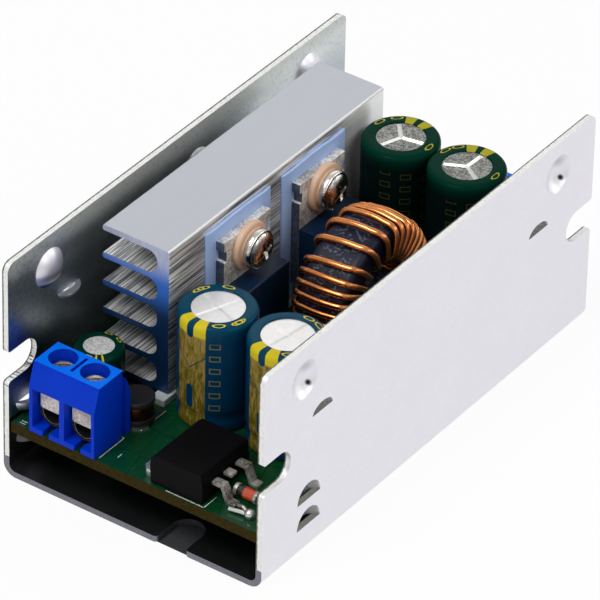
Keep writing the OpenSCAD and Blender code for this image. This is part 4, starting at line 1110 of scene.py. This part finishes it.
def make_capacitors():
    yellow, olive = (0.74, 0.60, 0.02), (0.46, 0.42, 0.03)
    teal, teal_rim = (0.001, 0.034, 0.085), (0.0003, 0.050, 0.095)
    green, green_rim = (0.0012, 0.0075, 0.0070), (0.0001, 0.030, 0.018)
    bright_lid, stripe_half = FINISHES["can_metal"], 25
    for side, stripe_at, marks, turn in (
            ("left", -96.6, (162, 152, 108, -53, -14, -20), 68),
            ("right", -93.6, (88, 62, -54), 81)):
        make_can("input_cap_" + side, 0.66, lambda size: shrunk_sleeve(
            "input_film", size, teal, teal_rim, yellow, stripe_at, stripe_half, marks,
            columns=(-58,)), bright_lid, arms=4, width=0.42, depth=0.18, turn=turn)
    for side, stripe_at, marks, turn in (
            ("left", 91, (165, 132, 2), 10), ("right", 100, (140, 165, 2), 87)):
        make_can("output_cap_" + side, 0.62, lambda size: shrunk_sleeve(
            "output_film", size, green, green_rim, olive, stripe_at, stripe_half, marks,
            columns=(-78, -48, -15), worn_ink=0.22, shine=0.02),
            OUTPUT_LID, arms=3, width=0.62, depth=0.30, turn=turn)
    make_can("bias_cap", 0.60, lambda size: shrunk_sleeve(
        "bias_film", size, green, green_rim, yellow, stripe_at=-52, stripe_half=11,
        marks=(-82, 60, 100)), BIAS_LID)


# ---------------------------------------------------------------- choke

def make_choke():
    """Ring core on edge and its winding, whose turns crowd together behind."""
    low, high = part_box("choke_core")
    centre = (low + high) / 2
    core_r = (high.z - low.z) / 2 / MM
    bore, half, edge = 5.6, (high.x - low.x) / 2 / MM, 1.2
    keep("ring_core", lathe(
        [(bore, 0, 0), (bore, half, edge), (core_r, half, edge), (core_r, -half, edge),
         (bore, -half, edge), (bore, 0, 0)],
        centre, ALONG_X, steps=96), "core_coating", "choke_core")

    wire, turns, play = 0.45, 18, 0.05
    first_angle, turn_step = -9.3, 9
    loose_from, loose_turns, loose_spread = 5.86, 3, 27.3
    out_r, in_r, side = core_r + wire + play, bore - wire - play, half + wire + play
    corner, corner_steps, bow = 1.95, 6, 0.22

    def angle(t):
        """Angle round the ring after t turns: even steps, but for a few loose turns."""
        loose = max(0, min(1, (t - loose_from) / loose_turns))
        return radians(first_angle + turn_step * t + loose_spread * loose)

    def place(across, r, t):
        a = angle(t)
        return centre + mm(across, -r * cos(a), r * sin(a))

    corners = [Vector(c) for c in ((side, out_r), (side, in_r), (-side, in_r), (-side, out_r))]
    loop = []
    for before, here, after in zip(
            corners[-1:] + corners[:-1], corners, corners[1:] + corners[:1]):
        loop += rounded(before, here, after, corner, corner_steps)
        if here is corners[-1]:                         # the run over the ring's outside bows
            end, leave = loop[-1], after + (here - after).normalized() * corner
            for s in (0.25, 0.5, 0.75):
                loop.append(end.lerp(leave, s) + Vector((0, bow * sin(pi * s))))
    size, first_point, first_t, last_t = len(loop), 4, -0.22, turns - 0.05
    path = []
    for i in range(-1, turns):
        for k, point in enumerate(loop):
            t = i + (k + first_point) / size
            if first_t <= t <= last_t:
                path.append(place(point.x, point.y, t))
    foot_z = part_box("circuit_board")[0].z - MM * 1.4
    first, last = path[0], path[-1]
    path = [Vector((first.x, first.y, foot_z))] + path + [Vector((last.x, last.y, foot_z))]
    keep("copper_turns", tube(path, wire, 4), "copper_wire", "choke_winding")


# ---------------------------------------------------------------- small parts

def make_small_parts():
    for node, width, segments in (
            ("rectifier_body", 0.12, 2), ("rectifier_tab", 0.08, 2), ("rectifier_leads", 0.09, 2),
            ("drum_coil_core", 0.12, 2), ("drum_coil_winding", 0.1, 2),
            ("controller_body", 0.12, 2), ("controller_leads", 0.03, 1),
            ("chip_resistors", 0.06, 1), ("chip_capacitors", 0.12, 2), ("diode_ends", 0.08, 2)):
        own = {"drum_coil_winding": SHADED_WINDING, "rectifier_leads": WORN_SHADED_TIN,
               "diode_ends": WORN_SHADED_TIN}.get(node)
        dress(node + "_eased", node, width, segments, [own] if own else ())
    for node in ("drum_coil_base", "diode_glass", "jumper_wire"):
        give_finish(node, NODE_SLOT[node])


make_case()
make_board()
make_ink()
make_heatsink()
make_devices()
make_terminal("input", -1)
make_terminal("output", 1)
make_capacitors()
make_choke()
make_small_parts()


# ---------------------------------------------------------------- stage

def make_camera():
    """A long lens from the front right, a little rolled."""
    azimuth, elevation, roll = radians(34.793), radians(35.536), radians(1.381)
    target, distance = mm(0.15, -0.65, 15.63), 833.1 * MM
    back = Vector((
        sin(azimuth) * cos(elevation), -cos(azimuth) * cos(elevation), sin(elevation)))
    level = Vector((cos(azimuth), sin(azimuth), 0))
    up = back.cross(level)
    side = level * cos(roll) + up * sin(roll)
    rise = up * cos(roll) - level * sin(roll)
    data = bpy.data.cameras.new("camera")
    data.lens = 384.41
    data.sensor_width = 36
    data.clip_start = 0.05
    data.clip_end = 20
    camera = linked("camera", data)
    turn = Matrix((side, rise, back)).transposed().to_4x4()
    camera.matrix_world = Matrix.Translation(target + back * distance) @ turn
    bpy.context.scene.camera = camera


def make_lamp(name, place, size, radiance):
    """A soft rectangular lamp that faces the object; radiance 1 shows as white in a mirror."""
    aim = Vector((0, 0, 0.02))
    data = bpy.data.lights.new(name, "AREA")
    data.shape = "RECTANGLE"
    data.size, data.size_y = size
    data.energy = radiance * pi * size[0] * size[1]
    lamp = linked(name, data)
    lamp.location = place
    lamp.rotation_euler = (aim - Vector(place)).to_track_quat("-Z", "Y").to_euler()


def make_floor():
    """White floor that takes the object's shadow, and is painted dark grey beneath the object as a
    painted shadow.
    """
    mesh = bpy.data.meshes.new("floor")
    work = bmesh.new()
    bmesh.ops.create_grid(work, x_segments=1, y_segments=1, size=4)
    bmesh.ops.translate(work, vec=(0, 0, cad_box[0].z - MM * 0.05), verts=work.verts)
    work.to_mesh(mesh)
    work.free()
    floor = linked("floor", mesh)
    f = Finish("floor", Roughness=0.9)
    x, y, _ = f.parts()
    reach = cad_box[1] / MM
    painted_shadow_beneath = (abs(x) < reach.x - 5) & (abs(y) < reach.y - 0.3)
    # painted shadow: dark grey base colour under the object's footprint
    f.feed("Base Color", f.mix(painted_shadow_beneath, (0.9, 0.9, 0.9), (0.035, 0.037, 0.042)))
    camera_ray = f.put("ShaderNodeLightPath", {}, out="Is Camera Ray")
    mirrored = Value(f, camera_ray.socket.node.outputs["Is Glossy Ray"])
    white = f.put("ShaderNodeEmission", {}, Color=(1, 1, 1), Strength=1.0)
    blend = f.put("ShaderNodeMixShader", {}, (camera_ray | mirrored) * (1 - painted_shadow_beneath) * 0.94)
    node = blend.socket.node
    f.tree.links.new(f.shader.outputs[0], node.inputs[1])
    f.tree.links.new(white.socket, node.inputs[2])
    f.tree.links.new(node.outputs[0], f.output.inputs[0])
    mesh.materials.append(f.material)


def make_world():
    """White to the camera, grey to everything else, and dark low down on the left."""
    world = bpy.data.worlds.new("studio")
    bpy.context.scene.world = world
    world.use_nodes = True
    tree = world.node_tree
    tree.nodes.clear()

    def background(strength):
        node = tree.nodes.new("ShaderNodeBackground")
        node.inputs[0].default_value = (1, 1, 1, 1)
        node.inputs[1].default_value = strength
        return node.outputs[0]

    def blend(factor, first, second):
        node = tree.nodes.new("ShaderNodeMixShader")
        for socket, source in zip(node.inputs, (factor, first, second)):
            tree.links.new(source, socket)
        return node.outputs[0]

    def ramp(socket, low, high):
        node = tree.nodes.new("ShaderNodeMapRange")
        node.interpolation_type = "SMOOTHSTEP"
        node.inputs["From Min"].default_value = low
        node.inputs["From Max"].default_value = high
        tree.links.new(socket, node.inputs[0])
        return node.outputs[0]

    way = tree.nodes.new("ShaderNodeTexCoord").outputs["Generated"]
    split = tree.nodes.new("ShaderNodeSeparateXYZ")
    tree.links.new(way, split.inputs[0])
    seen, reflected, dark, fill = 1.0, 0.62, 0.10, 0.32
    low_down = blend(
        ramp(split.outputs["X"], -0.5, -0.15), background(dark), background(reflected))
    mirrored = blend(ramp(split.outputs["Z"], 0.15, 0.5), low_down, background(reflected))
    rays = tree.nodes.new("ShaderNodeLightPath")
    unseen = blend(rays.outputs["Is Glossy Ray"], background(fill), mirrored)
    out = tree.nodes.new("ShaderNodeOutputWorld")
    surface = blend(rays.outputs["Is Camera Ray"], unseen, background(seen))
    tree.links.new(surface, out.inputs[0])


make_camera()
make_floor()
make_world()
make_lamp("key", (-0.10, -0.35, 0.60), (0.26, 0.26), 11.0)
make_lamp("side", (0.60, -0.05, 0.50), (0.45, 0.45), 1.7)
make_lamp("rim", (-0.45, 0.65, 0.55), (0.7, 0.5), 0.8)
make_lamp("back", (0.50, 0.58, 0.40), (0.30, 0.30), 3.0)
make_lamp("low_front", (-0.25, -0.70, 0.16), (0.45, 0.22), 0.4)
bpy.context.scene.view_settings.view_transform = "Standard"
